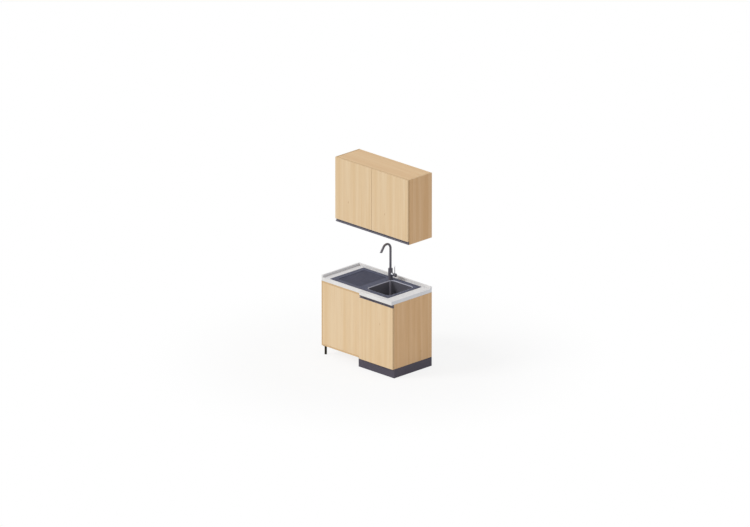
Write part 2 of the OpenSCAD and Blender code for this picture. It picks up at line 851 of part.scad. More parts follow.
// The outlet pipe ends in a spigot for the socket in the wall, with a stop bead before it
module outlet_pipe() {
    y0 = waste_y + trap_d / 2;
    color(plastic_white) difference() {
        union() {
            rod_y([waste_x, y0, outlet_z], pipe_d, wall_y - y0);
            rod_y([waste_x, wall_y - spigot_l - bead_w, outlet_z], pipe_d + 2 * bead_h, bead_w);
        }
        rod_y([waste_x, y0 - 1, outlet_z], pipe_d - 2 * pipe_wall, wall_y - y0 + 2);
    }
}

// Tap

module tap_body() {
    color(tap_black) translate([tap_x, tap_y, tap_z]) difference() {
        union() {
            rod_z([0, 0, 0], tap_d, tap_h);
            rod_x([0, 0, lever_up], hub_d, hub_end);
            rod_z([0, 0, -shank_l], shank_d, shank_l + eps);
        }
        rod_z([0, 0, tap_h - tap_bore], spout_d + 2 * run_fit, tap_bore + 1);
        rod_x([cartridge_back, 0, lever_up], cartridge_d + 2 * slip, hub_end);
        for (side = [-1, 1]) rod_z([side * inlet_gap / 2, 0, -shank_l - 1], inlet_d, inlet_l + 1);
    }
}

washer_w = 8;
washer_t = 3;
fixing_nut_h = 10;
module tap_fixing_nut() {
    top = -sink_wall - drainer_depth - seat;
    across = shank_d + 2 * washer_w - 1;
    color(steel) translate([tap_x, tap_y, tap_z]) difference() {
        union() {
            rod_z([0, 0, top - washer_t], shank_d + 2 * washer_w, washer_t);
            translate([0, 0, top - washer_t - fixing_nut_h])
                cylinder(d = across, h = fixing_nut_h + eps, $fn = 6);
        }
        rod_z([0, 0, top - washer_t - fixing_nut_h - 1], shank_d + 2 * slip, washer_t + fixing_nut_h + 2);
    }
}

// The spout rises and bends; its mouth is a straight sleeve that is cut level
module tap_spout() {
    foot = tap_h - tap_bore + seat;
    color(tap_black) translate([tap_x, tap_y, tap_z]) difference() {
        union() {
            pipe_z([0, 0, foot], spout_d, spout_wall, spout_rise - foot);
            translate([0, -spout_r, spout_rise]) rotate([90, 0, 90]) {
                pipe_bend(spout_d, spout_wall, spout_r, spout_bend);
                rotate([0, 0, spout_bend]) translate([spout_r, 0, 0]) rotate([-90, 0, 0])
                    pipe_z([0, 0, -mouth_back], spout_d + 2 * mouth_step, spout_wall + 2 * mouth_step,
                        spout_tip + spout_d);
            }
        }
        translate([-spout_d, -tip_y - 2 * spout_d, tip_z - 2 * spout_d])
            cube([2 * spout_d, 4 * spout_d, 2 * spout_d]);
    }
}

module spout_aerator() {
    d = spout_d - 2 * (spout_wall + mouth_step + slip);
    z0 = spout_tip - aerator_in - aerator_h;
    color(steel) translate([tap_x, tap_y - spout_r, tap_z + spout_rise]) rotate([spout_bend, 0, 0])
        translate([0, spout_r, 0]) difference() {
            rod_z([0, 0, z0], d, aerator_h);
            for (i = [0:5]) rotate([0, 0, i * 60]) rod_z([d / 4 + 0.5, 0, z0 - 1], 2.6, aerator_h + 2);
        }
}

module tap_cartridge() {
    color(plastic_white) translate([tap_x, tap_y, tap_z + lever_up]) difference() {
        rod_x([cartridge_back + seat, 0, 0], cartridge_d, hub_end - cartridge_back - 2);
        rod_x([cartridge_back + cartridge_floor, 0, 0], spindle_d + 2 * run_fit, hub_end);
    }
}

// The spindle turns in the cartridge; its cross pin carries the ball of the lever
module lever_spindle() {
    x0 = cartridge_back + cartridge_floor + seat;
    color(steel) translate([tap_x, tap_y, tap_z + lever_up]) {
        rod_x([x0, 0, 0], spindle_d, lever_out - x0);
        rod_y([lever_out, 2 - ball_d / 2, 0], lever_pin_d, ball_d - 4);
        rod_y([lever_out, -knuckle_w / 2, 0], spindle_d - slip, knuckle_w);
    }
}

// The hollow that lets the ball tilt on the spindle: the spindle's way, swept down by the tilt
module tilt_slot() {
    w = spindle_d / 2 + 2 * seat;
    fall = ball_d / 2 * sin(lever_tilt) + w + 1;
    block([-ball_d, -w, -fall], [w, w, w]);
}

module lever_ball() {
    color(tap_black) translate([tap_x + lever_out, tap_y, tap_z + lever_up]) difference() {
        rotate([0, 90, 0]) sphere(d = ball_d);
        tilt_slot();
        rod_y([0, -ball_d / 2 - 1, 0], lever_pin_d + 2 * run_fit, ball_d + 2);
        rod_z([-stick_back, 0, stick_foot], stick_d + 2 * slip, ball_d);
    }
}

module lever_stick() {
    color(steel) translate([tap_x + lever_out - stick_back, tap_y, tap_z + lever_up]) {
        rod_z([0, 0, stick_foot + seat], stick_d, stick_l - stick_foot - seat - stick_d / 2);
        translate([0, 0, stick_l - stick_d / 2]) sphere(d = stick_d);
    }
}

// Concealed hinges

// The two screws of a hinge plate, in u, v distances, or with a gap their holes
module plate_screws(z, gap = 0) {
    for (side = [-1, 1]) rod_x([board_t - plate_screw_l - gap, -system_line, z + side * system_pitch / 2],
        plate_screw_d + 2 * gap, plate_screw_l + gap + eps);
}

module hinge_plate(z) {
    wing = (system_pitch + plate_wing) / 2;
    block([board_t, -system_line - plate_rear, z - plate_w / 2],
        [board_t + plate_t, -system_line + plate_front, z + plate_w / 2]);
    block([board_t, -system_line - plate_wing / 2, z - wing],
        [board_t + plate_t, -system_line + plate_wing / 2, z + wing]);
    plate_screws(z);
}

// The arm stands on the plate and reaches into the cup, where its pin carries the link
module hinge_arm(z) {
    cheek = link_w / 2 + seat;
    top_u = arm_pin[0] + arm_r;
    translate([0, 0, z]) {
        for (side = [-1, 1]) translate([0, 0, side > 0 ? cheek : -cheek - arm_t]) linear_extrude(arm_t) {
            translate([board_t + plate_t, -arm_back]) square([top_u - board_t - plate_t, arm_back - 6]);
            translate([arm_pin[0] - arm_r, -arm_back]) square([2 * arm_r, arm_back + arm_pin[1]]);
            translate(arm_pin) circle(arm_r);
        }
        block([top_u - arm_t, -arm_back, -cheek - eps], [top_u, 0, cheek + eps]);
        rod_z([arm_pin[0], arm_pin[1], -cheek - eps], pin_d, 2 * cheek + 2 * eps);
    }
}

module hinge_cup(z) {
    r = cup_d / 2;
    translate([cup_u, door_gap, z]) {
        difference() {
            union() {
                rod_y([0, -flange_t, 0], cup_d, cup_depth + flange_t);
                rod_y([0, -flange_t, 0], cup_d + 3, flange_t);
                block([-ear_t, -flange_t, -ear_h / 2], [ear_l, 0, ear_h / 2]);
            }
            rod_y([0, -flange_t - 1, 0], cup_d - 2 * cup_wall, cup_depth + flange_t);
        }
        intersection() {
            rod_y([0, 0, 0], cup_d, cup_depth);
            rod_z([cup_pin[0] - cup_u, cup_pin[1] - door_gap, -r], pin_d, cup_d);
        }
    }
}

// The link's strap is a bow between its two barrels, drawn as a ring cut off at the chord
module hinge_link(z) {
    span = arm_pin - cup_pin;
    chord = norm(span);
    ring_r = (chord * chord / 4 + link_bow * link_bow) / (2 * link_bow);
    translate([cup_pin[0], cup_pin[1], z - link_w / 2]) rotate([0, 0, atan2(span[1], span[0])])
        linear_extrude(link_w) difference() {
            union() {
                circle(barrel_r);
                translate([chord, 0]) circle(barrel_r);
                intersection() {
                    translate([chord / 2, link_bow - ring_r]) difference() {
                        circle(ring_r + link_t / 2, $fn = 128);
                        circle(ring_r - link_t / 2, $fn = 128);
                    }
                    translate([0, -0.4]) square([chord, link_bow + link_t]);
                }
            }
            circle(pin_d / 2 + run_fit);
            translate([chord, 0]) circle(pin_d / 2 + run_fit);
        }
}

module hinge_plates() {
    color(steel) {
        at_edge(1, front_y) for (z = base_hinge_z) hinge_plate(z);
        for (side = [-1, 1]) at_edge(side, wall_front_y) for (z = wall_hinge_z) hinge_plate(z);
    }
}

module hinge_arms() {
    color(steel) {
        at_edge(1, front_y) for (z = base_hinge_z) hinge_arm(z);
        for (side = [-1, 1]) at_edge(side, wall_front_y) for (z = wall_hinge_z) hinge_arm(z);
    }
}

// Small buffers on the carcass, where the free edge of each door closes
buffer_end = 40;
buffer_side = 24;
module door_buffers() {
    h = door_gap - seat;
    color(plastic_white) {
        for (z = [leg_h + buffer_end, base_door_top - buffer_end])
            rod_y([base_door_left + door_lap / 2, front_y - h, z], buffer_d, h);
        for (side = [-1, 1], z = [wall_z + board_t / 2, wall_top_z - board_t / 2])
            rod_y([side * buffer_side, wall_front_y - h, z], buffer_d, h);
    }
}

// Doors and handles

// Section of the handle profile: v across, and along y the distance from the door's edge
module handle_section() {
    front = door_gap + handle_d;
    difference() {
        translate([door_gap, 0]) square([handle_d, handle_h]);
        round_rect([door_gap + handle_wall, handle_wall],
            [front - handle_wall, handle_h - handle_wall], 2.4);
        translate([front - handle_wall - eps, handle_wall]) square([handle_wall + 1, grip_h]);
    }
    translate([door_gap, 0]) square([door_t - 1, handle_wall]);
    translate([door_gap + door_t / 2 - tongue_t / 2, -tongue_d]) square([tongue_t, tongue_d + eps]);
}

// Lays a section of v and height along X from x0, growing up or down from height z
module along_door(x0, l, unit_front, z, up) {
    translate([x0, unit_front, z]) mirror([0, 0, up ? 0 : 1]) mirror([0, 1, 0]) rotate([90, 0, 90])
        linear_extrude(l) children();
}

// A door with its bores for the hinge cups and its groove for the handle's tongue
module door(x0, w, side, unit_front, z0, z1, hinge_z, handle_up) {
    difference() {
        block([x0, unit_front - door_face, z0], [x0 + w, unit_front - door_gap, z1]);
        at_edge(side, unit_front) for (z = hinge_z)
            rod_y([cup_u, door_gap - eps, z], cup_d + 2 * slip, cup_depth + slip + eps);
        along_door(x0 - 1, w + 2, unit_front, handle_up ? z1 : z0, handle_up)
            translate([door_gap + door_t / 2 - tongue_t / 2 - slip, -tongue_d - slip])
                square([tongue_t + 2 * slip, tongue_d + 1]);
    }
}

module base_door() {
    color(board_wood) door(base_door_left, base_door_w, 1, front_y, leg_h, base_door_top,
        base_hinge_z, true);
}

module base_door_handle() {
    color(dark_alu) along_door(base_door_left, base_door_w, front_y, base_door_top, true) handle_section();
}

module base_hinge_cups() {
    color(steel) at_edge(1, front_y) for (z = base_hinge_z) hinge_cup(z);
}

module base_hinge_links() {
    color(steel) at_edge(1, front_y) for (z = base_hinge_z) hinge_link(z);
}

// Left end of the wall door on one side
function wall_door_x(side) = side > 0 ? centre_gap / 2 : -centre_gap / 2 - wall_door_w;

module wall_door(side) {
    color(board_wood) door(wall_door_x(side), wall_door_w, side, wall_front_y, wall_door_foot, wall_top_z,
        wall_hinge_z, false);
}

module wall_handle(side) {
    color(dark_alu) along_door(wall_door_x(side), wall_door_w, wall_front_y, wall_door_foot, false)
        handle_section();
}

module wall_hinge_cups(side) {
    color(steel) at_edge(side, wall_front_y) for (z = wall_hinge_z) hinge_cup(z);
}

module wall_hinge_links(side) {
    color(steel) at_edge(side, wall_front_y) for (z = wall_hinge_z) hinge_link(z);
}

module wall_door_left() { wall_door(-1); }
module wall_door_right() { wall_door(1); }
module wall_handle_left() { wall_handle(-1); }
module wall_handle_right() { wall_handle(1); }
module wall_hinge_cups_left() { wall_hinge_cups(-1); }
module wall_hinge_cups_right() { wall_hinge_cups(1); }
module wall_hinge_links_left() { wall_hinge_links(-1); }
module wall_hinge_links_right() { wall_hinge_links(1); }

// Wall unit carcass

shelf_z = wall_z + board_t + shelf_up;
pin_len = 16;
shelf_pin_d = 5;
shelf_setback = 24;
pin_in = 30;
pin_back = 50;
pin_y = [wall_front_y + shelf_setback + pin_in, panel_front_y - pin_back];

module pins(gap = 0) {
    for (side = [-1, 1], y = pin_y) {
        x0 = side > 0 ? in_x - pin_len / 2 - gap : -in_x - pin_len / 2 - gap;
        rod_x([x0, y, shelf_z - shelf_pin_d / 2], shelf_pin_d + 2 * gap, pin_len + 2 * gap);
    }
}

module wall_side(side) {
    difference() {
        side_board(side, wall_front_y, wall_z, wall_top_z, wall_hinge_z, wall_top_z - board_t + groove);
        pins(slip);
    }
}

module wall_side_left() { color(board_wood) wall_side(-1); }
module wall_side_right() { color(side_wood) wall_side(1); }

module wall_board(z) {
    drilled() difference() {
        block([-in_x, wall_front_y, z], [in_x, wall_y, z + board_t]);
        back_groove(wall_z + board_t, wall_top_z - board_t + groove);
    }
}

module wall_top() { color(board_wood) wall_board(wall_top_z - board_t); }
module wall_bottom() { color(board_wood) wall_board(wall_z); }

module wall_shelf() {
    color(board_wood) block([-in_x + 1, wall_front_y + shelf_setback, shelf_z + slip],
        [in_x - 1, panel_front_y - 1, shelf_z + slip + board_t]);
}

module shelf_pins() { color(steel) pins(); }

// The hangers sit in the top corners; their hooks pass the back panel and hold the rail on the wall
hanger_w = 20;
hanger_h = 58;
hanger_d = 36;
hook_w = 12;
hook_t = 3;
hook_down = 42;
hook_lip = 8;
hook_play = 4;
hook_z = wall_top_z - board_t - hook_down;
rail_h = 38;
rail_t = 2;
rail_off = 6;
rail_end = 2;
rail_pitch = 900;
rail_hole_d = 8;
hanger_mid = in_x - seat - hanger_w / 2;

module wall_hangers() {
    lip_y = wall_y - rail_off + seat;
    z1 = wall_top_z - board_t - seat;
    color(steel) for (side = [-1, 1]) translate([side * hanger_mid, 0, 0]) {
        block([-hanger_w / 2, panel_front_y - hanger_d, z1 - hanger_h],
            [hanger_w / 2, panel_front_y - seat, z1]);
        block([-hook_w / 2, panel_front_y - hanger_d / 2, hook_z],
            [hook_w / 2, lip_y + hook_t, hook_z + hook_t]);
        block([-hook_w / 2, lip_y, hook_z - hook_lip], [hook_w / 2, lip_y + hook_t, hook_z + eps]);
    }
}

module wall_back_panel() {
    w = hook_w / 2 + 1;
    color(hardboard) difference() {
        block([-in_x - groove + slip, panel_front_y, wall_z + board_t - groove + slip],
            [in_x + groove - slip, panel_back_y, wall_top_z - board_t + groove - slip]);
        for (side = [-1, 1]) translate([side * hanger_mid, 0, hook_z])
            block([-w, panel_front_y - 1, -hook_lip - 2], [w, panel_back_y + 1, hook_t + hook_play]);
    }
}

// The rail is bent so that its upper edge stands off the wall for the hooks
module wall_rail() {
    top = hook_z - seat;
    mid = top - rail_h / 2;
    x1 = in_x - rail_end;
    color(steel) difference() {
        union() {
            block([-x1, wall_y - rail_off - rail_t, mid], [x1, wall_y - rail_off, top]);
            block([-x1, wall_y - rail_off - rail_t, mid], [x1, wall_y, mid + rail_t]);
            block([-x1, wall_y - rail_t, top - rail_h], [x1, wall_y, mid + rail_t]);
        }
        for (side = [-1, 1]) rod_y([side * rail_pitch / 2, wall_y - rail_t - 1, top - rail_h * 0.75],
            rail_hole_d, rail_t + 2);
    }
}

base_side_left();
base_side_right();
base_bottom();
base_front_rail();
base_back_rail();
base_back_panel();
blind_panel();
corner_post();
carcass_dowels();
cam_fittings();
legs();
leg_feet();
plinth_front();
plinth_side();
plinth_clips();
worktop();
upstand_back();
upstand_left();
sink();
sink_clips();
waste_flange();
waste_body();
strainer_basket();
overflow_pipe();
trap_body();
trap_cup();
waste_nuts();
outlet_pipe();
tap_body();
tap_fixing_nut();
tap_spout();
spout_aerator();
tap_cartridge();
lever_spindle();
lever_ball();
lever_stick();
hinge_plates();
hinge_arms();
door_buffers();
base_door();
base_door_handle();
base_hinge_cups();
base_hinge_links();
wall_side_left();
wall_side_right();
wall_top();
wall_bottom();
wall_shelf();
shelf_pins();
wall_back_panel();
wall_hangers();
wall_rail();
wall_door_left();
wall_handle_left();
wall_hinge_cups_left();
wall_hinge_links_left();
wall_door_right();
wall_handle_right();
wall_hinge_cups_right();
wall_hinge_links_right();
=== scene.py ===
# Corner kitchen run: a sink base unit with a blind corner half, a worktop with sink and tap, and a wall
# unit above. X runs along the wall, Y towards the wall, Z up, in metres. Millimetres are multiplied by MM.
import json
import math

import bmesh
import bpy
from mathutils import Matrix, Vector

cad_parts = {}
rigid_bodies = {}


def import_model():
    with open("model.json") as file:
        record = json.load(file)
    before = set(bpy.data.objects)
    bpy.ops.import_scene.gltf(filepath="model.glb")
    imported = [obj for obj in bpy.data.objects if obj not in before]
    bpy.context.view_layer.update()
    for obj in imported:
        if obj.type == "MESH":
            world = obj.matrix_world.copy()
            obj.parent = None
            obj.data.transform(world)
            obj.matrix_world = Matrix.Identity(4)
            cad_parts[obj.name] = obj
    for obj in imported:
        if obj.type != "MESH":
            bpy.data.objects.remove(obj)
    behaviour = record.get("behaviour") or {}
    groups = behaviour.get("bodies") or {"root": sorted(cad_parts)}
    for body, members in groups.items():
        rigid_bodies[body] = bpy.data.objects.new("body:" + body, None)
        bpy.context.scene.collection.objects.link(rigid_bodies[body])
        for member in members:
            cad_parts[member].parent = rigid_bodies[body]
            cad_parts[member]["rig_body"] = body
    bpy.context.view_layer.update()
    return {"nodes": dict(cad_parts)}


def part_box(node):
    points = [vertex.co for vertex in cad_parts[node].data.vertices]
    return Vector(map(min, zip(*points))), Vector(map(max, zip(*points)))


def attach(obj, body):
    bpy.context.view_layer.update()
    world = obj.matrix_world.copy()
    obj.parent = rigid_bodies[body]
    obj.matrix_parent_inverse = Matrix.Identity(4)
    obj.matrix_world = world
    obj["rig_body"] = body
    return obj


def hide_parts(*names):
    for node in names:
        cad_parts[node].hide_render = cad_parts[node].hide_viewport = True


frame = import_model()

NODES = frame["nodes"]
MM = 0.001
WELD = 2e-6  # vertices closer together than this, in metres, are one


# Materials

def tone(code):
    """An sRGB hex colour as the linear colour that the sockets take."""
    def linear(c):
        return c / 12.92 if c <= 0.04045 else ((c + 0.055) / 1.055) ** 2.4
    return tuple(linear(int(code[i:i + 2], 16) / 255) for i in (1, 3, 5)) + (1.0,)


def add(tree, kind, sockets=None, **settings):
    """Adds a node to a material. settings are its own, and sockets hold values, or the nodes and outputs that
    are linked to them."""
    made = tree.nodes.new("ShaderNode" + kind)
    for key, value in settings.items():
        setattr(made, key, value)
    for key, value in (sockets or {}).items():
        if isinstance(value, bpy.types.Node):
            value = value.outputs[0]
        if isinstance(value, bpy.types.NodeSocket):
            tree.links.new(value, made.inputs[key])
        else:
            made.inputs[key].default_value = value
    return made


def blank(name):
    """An empty material and its node tree."""
    material = bpy.data.materials.new(name)
    material.use_nodes = True
    material.node_tree.nodes.clear()
    return material, material.node_tree


def rubbed_edges(tree, place, reach_mm, patch_mm, most):
    """How far a finish is rubbed off, from 0 to most: only along outer edges, and there in patches."""
    softened = add(tree, "Bevel", {"Radius": reach_mm * MM}, samples=4)
    own = add(tree, "NewGeometry").outputs["Normal"]
    agree = add(tree, "VectorMath", {0: softened, 1: own}, operation="DOT_PRODUCT").outputs["Value"]
    # The two normals agree away from an edge, at 1, and part by some 30 degrees right on it
    edge = add(tree, "MapRange", {"Value": agree, "From Min": 0.86, "From Max": 0.995,
                                  "To Min": 1.0, "To Max": 0.0})
    patches = add(tree, "TexNoise", {"Vector": place, "Scale": 1000.0 / patch_mm, "Detail": 3.0})
    spots = add(tree, "MapRange", {"Value": patches, "From Min": 0.45, "From Max": 0.65, "To Max": most})
    return add(tree, "Math", {0: edge, 1: spots}, operation="MULTIPLY")


# Light and dark wood of the decor on the fronts, on the sides, on the tops and on edge bands, and of beech
FRONT_WOOD = ("#e3c9a4", "#ddbf95")
SIDE_WOOD = ("#dbb68b", "#d2a97a")
LEVEL_WOOD = ("#e0bf93", "#dbb78a")
EDGE_WOOD = ("#d6b78d", "#cba97c")
BEECH_WOOD = ("#dcbf93", "#cda878")
KNOT_WOOD = "#b07f4c"
# The decor's marks: how wide they are in mm, and how many times as long. Bands are 55 mm and streaks 20 mm
# wide, as in the sheet. Fibres are 1 mm in the sheet and drawn 5 mm wide, and pores are 0.3 mm and drawn
# 2.5 mm wide, so that they show.
GRAIN = {"bands": (55, 40), "streaks": (20, 50), "fibres": (5, 34), "pores": (2.5, 20)}
# The knot's dark heart, and where it has faded away, from its middle. It is twice as long along the grain.
KNOT_HEART, KNOT_EDGE = 3 * MM, 9 * MM
NO_KNOT = (9.0, 9.0, 9.0)  # far outside of every sheet


def oak_decor(name, along, woods=FRONT_WOOD, knot=NO_KNOT):
    """Melamine board with a printed light oak decor, pressed between satin plates: calm bands, fine straight
    grain and a soft sheen with faint pores. along is the axis of the grain, knot the middle of the one knot
    of a sheet."""
    material, tree = blank(name)
    place = add(tree, "TexCoord").outputs["Object"]
    from_knot = add(tree, "VectorMath", {0: place, 1: knot}, operation="SUBTRACT")
    grain = {}
    for mark, (wide_mm, times_as_long) in GRAIN.items():
        scale = [1.0, 1.0, 1.0]
        scale["xyz".index(along)] = 1.0 / times_as_long
        run = add(tree, "Mapping", {"Vector": from_knot, "Scale": scale})
        grain[mark] = add(tree, "TexNoise", {"Vector": run, "Scale": 1000.0 / wide_mm, "Detail": 2.0})
    light, dark = (tone(wood) for wood in woods)
    band = add(tree, "MapRange", {"Value": grain["bands"], "From Min": 0.4, "From Max": 0.6})
    board = add(tree, "Mix", {0: band, 6: light, 7: dark}, data_type="RGBA").outputs[2]
    calm = add(tree, "Mix", {0: 0.4, 6: board, 7: dark}, data_type="RGBA").outputs[2]
    streak = add(tree, "MapRange", {"Value": grain["streaks"], "From Min": 0.47, "From Max": 0.6})
    streaked = add(tree, "Mix", {0: streak, 6: board, 7: calm}, data_type="RGBA").outputs[2]
    fibre = add(tree, "MapRange", {"Value": grain["fibres"], "From Min": 0.3, "From Max": 0.7,
                                   "To Min": 0.965, "To Max": 1.025})
    pore = add(tree, "MapRange", {"Value": grain["pores"], "From Min": 0.66, "From Max": 0.74,
                                  "To Min": 1.0, "To Max": 0.93})
    depth = add(tree, "Math", {0: fibre, 1: pore}, operation="MULTIPLY")
    fibred = add(tree, "VectorMath", {0: streaked, "Scale": depth}, operation="SCALE")
    shorter = [1.0, 1.0, 1.0]
    shorter["xyz".index(along)] = 0.5
    round_eye = add(tree, "VectorMath", {0: from_knot, 1: shorter}, operation="MULTIPLY")
    eye = add(tree, "VectorMath", {0: round_eye}, operation="LENGTH").outputs["Value"]
    heart = add(tree, "MapRange", {"Value": eye, "From Min": KNOT_HEART, "From Max": KNOT_EDGE,
                                   "To Min": 0.4, "To Max": 0.0})
    coloured = add(tree, "Mix", {0: heart, 6: fibred.outputs[0], 7: tone(KNOT_WOOD)},
                   data_type="RGBA").outputs[2]
    rough = add(tree, "MapRange", {"Value": grain["pores"], "To Min": 0.46, "To Max": 0.62})
    relief = add(tree, "Bump", {"Height": depth, "Strength": 0.12, "Distance": 0.2 * MM})
    shader = add(tree, "BsdfPrincipled", {"Base Color": coloured, "Roughness": rough, "IOR": 1.45,
                                          "Normal": relief})
    add(tree, "OutputMaterial", {"Surface": shader})
    return material


def edge_banding():
    """Edge band of ABS in the decor's colour, glued on and scraped: plainer and a little darker than the
    sheet, with streaks of about 17 mm, and paler where hands rub it."""
    material, tree = blank("edge_banding_abs")
    place = add(tree, "TexCoord").outputs["Object"]
    streak = add(tree, "TexNoise", {"Vector": place, "Scale": 60.0, "Detail": 3.0})
    wood = add(tree, "Mix", {0: streak, 6: tone(EDGE_WOOD[0]), 7: tone(EDGE_WOOD[1])},
               data_type="RGBA").outputs[2]
    wear = rubbed_edges(tree, place, 1.5, 60, 0.35)
    handled = add(tree, "Mix", {0: wear, 6: wood, 7: tone("#ead5b3")}, data_type="RGBA").outputs[2]
    rough = add(tree, "MapRange", {"Value": streak, "To Min": 0.45, "To Max": 0.6})
    relief = add(tree, "Bump", {"Height": streak, "Strength": 0.08, "Distance": 0.2 * MM})
    shader = add(tree, "BsdfPrincipled", {"Base Color": handled, "Roughness": rough, "IOR": 1.46,
                                          "Normal": relief})
    add(tree, "OutputMaterial", {"Surface": shader})
    return material


def chipboard_core():
    """Raw sawn chipboard: matt, with chips of light and brown wood, about 4 mm, under pale saw dust."""
    material, tree = blank("chipboard_core_sawn")
    place = add(tree, "TexCoord").outputs["Object"]
    chips = add(tree, "TexVoronoi", {"Vector": place, "Scale": 250.0})
    dust = add(tree, "TexNoise", {"Vector": place, "Scale": 700.0, "Detail": 3.0})
    shade = add(tree, "SeparateColor", {0: chips.outputs["Color"]})
    wood = add(tree, "Mix", {0: shade, 6: tone("#c9a679"), 7: tone("#9c784c")}, data_type="RGBA").outputs[2]
    dusted = add(tree, "MapRange", {"Value": dust, "To Max": 0.5})
    dusty = add(tree, "Mix", {0: dusted, 6: wood, 7: tone("#dcc39b")}, data_type="RGBA").outputs[2]
    relief = add(tree, "Bump", {"Height": shade, "Strength": 0.4, "Distance": 0.4 * MM})
    shader = add(tree, "BsdfPrincipled", {"Base Color": dusty, "Roughness": 0.85, "IOR": 1.45,
                                          "Normal": relief})
    add(tree, "OutputMaterial", {"Surface": shader})
    return material


def speckled(name, ground, grit, pale, grit_mm, rough, relief_mm, ior, share=0.5, cloud_mm=110, cloudy=0.03,
             painted_highlight=None):
    """A ground colour with round grains of a darker and a paler colour in it, some faint and some full, and
    soft clouds. The last argument is a painted highlight: a paler colour put where upright walls start to
    turn into the side walls."""
    material, tree = blank(name)
    place = add(tree, "TexCoord").outputs["Object"]
    grains = add(tree, "TexVoronoi", {"Vector": place, "Scale": 1000.0 / grit_mm, "Randomness": 1.0})
    kind = add(tree, "SeparateColor", {0: grains.outputs["Color"]})
    cloud = add(tree, "TexNoise", {"Vector": place, "Scale": 1000.0 / cloud_mm, "Detail": 2.0})
    heart = add(tree, "MapRange", {"Value": grains.outputs["Distance"], "From Min": 0.35, "From Max": 0.55,
                                   "To Min": 1.0, "To Max": 0.0})
    mixed = tone(ground)
    for channel, least, most, colour in ((0, 0.2, 0.9, grit), (1, 0.6, 1.0, pale)):
        fullness = add(tree, "MapRange", {"Value": kind.outputs[channel], "From Min": least, "From Max": most,
                                          "To Max": 2.0 * share})
        grain = add(tree, "Math", {0: heart, 1: fullness}, operation="MULTIPLY")
        mixed = add(tree, "Mix", {0: grain, 6: mixed, 7: tone(colour)}, data_type="RGBA").outputs[2]
    shade = add(tree, "MapRange", {"Value": cloud, "From Min": 0.3, "From Max": 0.7,
                                   "To Min": 1 - cloudy, "To Max": 1 + cloudy})
    mixed = add(tree, "VectorMath", {0: mixed, "Scale": shade}, operation="SCALE")
    # Painted highlight: paler where an upright wall's normal has started to turn from X towards Y, fading out
    # where the surface tilts up
    if painted_highlight:
        facing = add(tree, "SeparateXYZ", {0: add(tree, "NewGeometry").outputs["Normal"]})
        across = add(tree, "Math", {0: facing.outputs["Y"]}, operation="ABSOLUTE")
        upward = add(tree, "Math", {0: facing.outputs["Z"]}, operation="ABSOLUTE")
        highlight_share = add(tree, "MapRange", {"Value": across, "From Min": 0.02, "From Max": 0.2})
        for value, least, most in ((across, 0.35, 0.65), (upward, 0.1, 0.6)):
            fades = add(tree, "MapRange", {"Value": value, "From Min": least, "From Max": most,
                                           "To Min": 1.0, "To Max": 0.0})
            highlight_share = add(tree, "Math", {0: highlight_share, 1: fades}, operation="MULTIPLY")
        mixed = add(tree, "Mix", {0: highlight_share, 6: mixed, 7: tone(painted_highlight)}, data_type="RGBA").outputs[2]
    polish = add(tree, "MapRange", {"Value": kind.outputs[2], "To Min": rough[0], "To Max": rough[1]})
    relief = add(tree, "Bump", {"Height": heart, "Strength": 0.25, "Distance": relief_mm * MM})
    shader = add(tree, "BsdfPrincipled", {"Base Color": mixed, "Roughness": polish, "IOR": ior,
                                          "Normal": relief})
    add(tree, "OutputMaterial", {"Surface": shader})
    return material


def coated_metal(name, colour, worn, metallic, rough, brush_mm=None, bare=None, gloss=0.5):
    """Metal with a tone that drifts a little over the piece, and where brush_mm is given fine brushed lines
    along X. bare is the colour under a coat, which shows where its edges are rubbed, and gloss how strongly
    the coat reflects."""
    material, tree = blank(name)
    place = add(tree, "TexCoord").outputs["Object"]
    drift = add(tree, "TexNoise", {"Vector": place, "Scale": 14.0, "Detail": 3.0})
    tinted = add(tree, "Mix", {0: drift, 6: tone(colour), 7: tone(worn)}, data_type="RGBA").outputs[2]
    if bare:
        wear = rubbed_edges(tree, place, 1.0, 25, 0.5)
        tinted = add(tree, "Mix", {0: wear, 6: tinted, 7: tone(bare)}, data_type="RGBA").outputs[2]
    marks_mm, depth = 3.0, 0.04
    if brush_mm:
        marks_mm, depth = brush_mm, 0.1
        place = add(tree, "Mapping", {"Vector": place, "Scale": (0.02, 1.0, 1.0)})
    lines = add(tree, "TexNoise", {"Vector": place, "Scale": 1000.0 / marks_mm, "Detail": 2.0})
    polish = add(tree, "MapRange", {"Value": lines, "From Min": 0.3, "From Max": 0.7,
                                    "To Min": rough[0], "To Max": rough[1]})
    relief = add(tree, "Bump", {"Height": lines, "Strength": depth, "Distance": 0.1 * MM})
    shader = add(tree, "BsdfPrincipled", {"Base Color": tinted, "Metallic": metallic, "Roughness": polish,
                                          "Specular IOR Level": gloss, "Normal": relief})
    add(tree, "OutputMaterial", {"Surface": shader})
    return material


def moulded(name, colour, shade, rough, grain_mm, ior=1.46, through=0.0):
    """Moulded plastic: one colour with soft clouds, and the fine grain of the mould. through is how clear it
    is."""
    material, tree = blank(name)
    place = add(tree, "TexCoord").outputs["Object"]
    cloud = add(tree, "TexNoise", {"Vector": place, "Scale": 25.0, "Detail": 2.0})
    tint = add(tree, "Mix", {0: cloud, 6: tone(colour), 7: tone(shade)}, data_type="RGBA").outputs[2]
    grain = add(tree, "TexNoise", {"Vector": place, "Scale": 1000.0 / grain_mm, "Detail": 3.0})
    polish = add(tree, "MapRange", {"Value": grain, "To Min": rough[0], "To Max": rough[1]})
    relief = add(tree, "Bump", {"Height": grain, "Strength": 0.08, "Distance": 0.1 * MM})
    shader = add(tree, "BsdfPrincipled", {"Base Color": tint, "Roughness": polish, "IOR": ior,
                                          "Transmission Weight": through, "Normal": relief})
    add(tree, "OutputMaterial", {"Surface": shader})
    return material


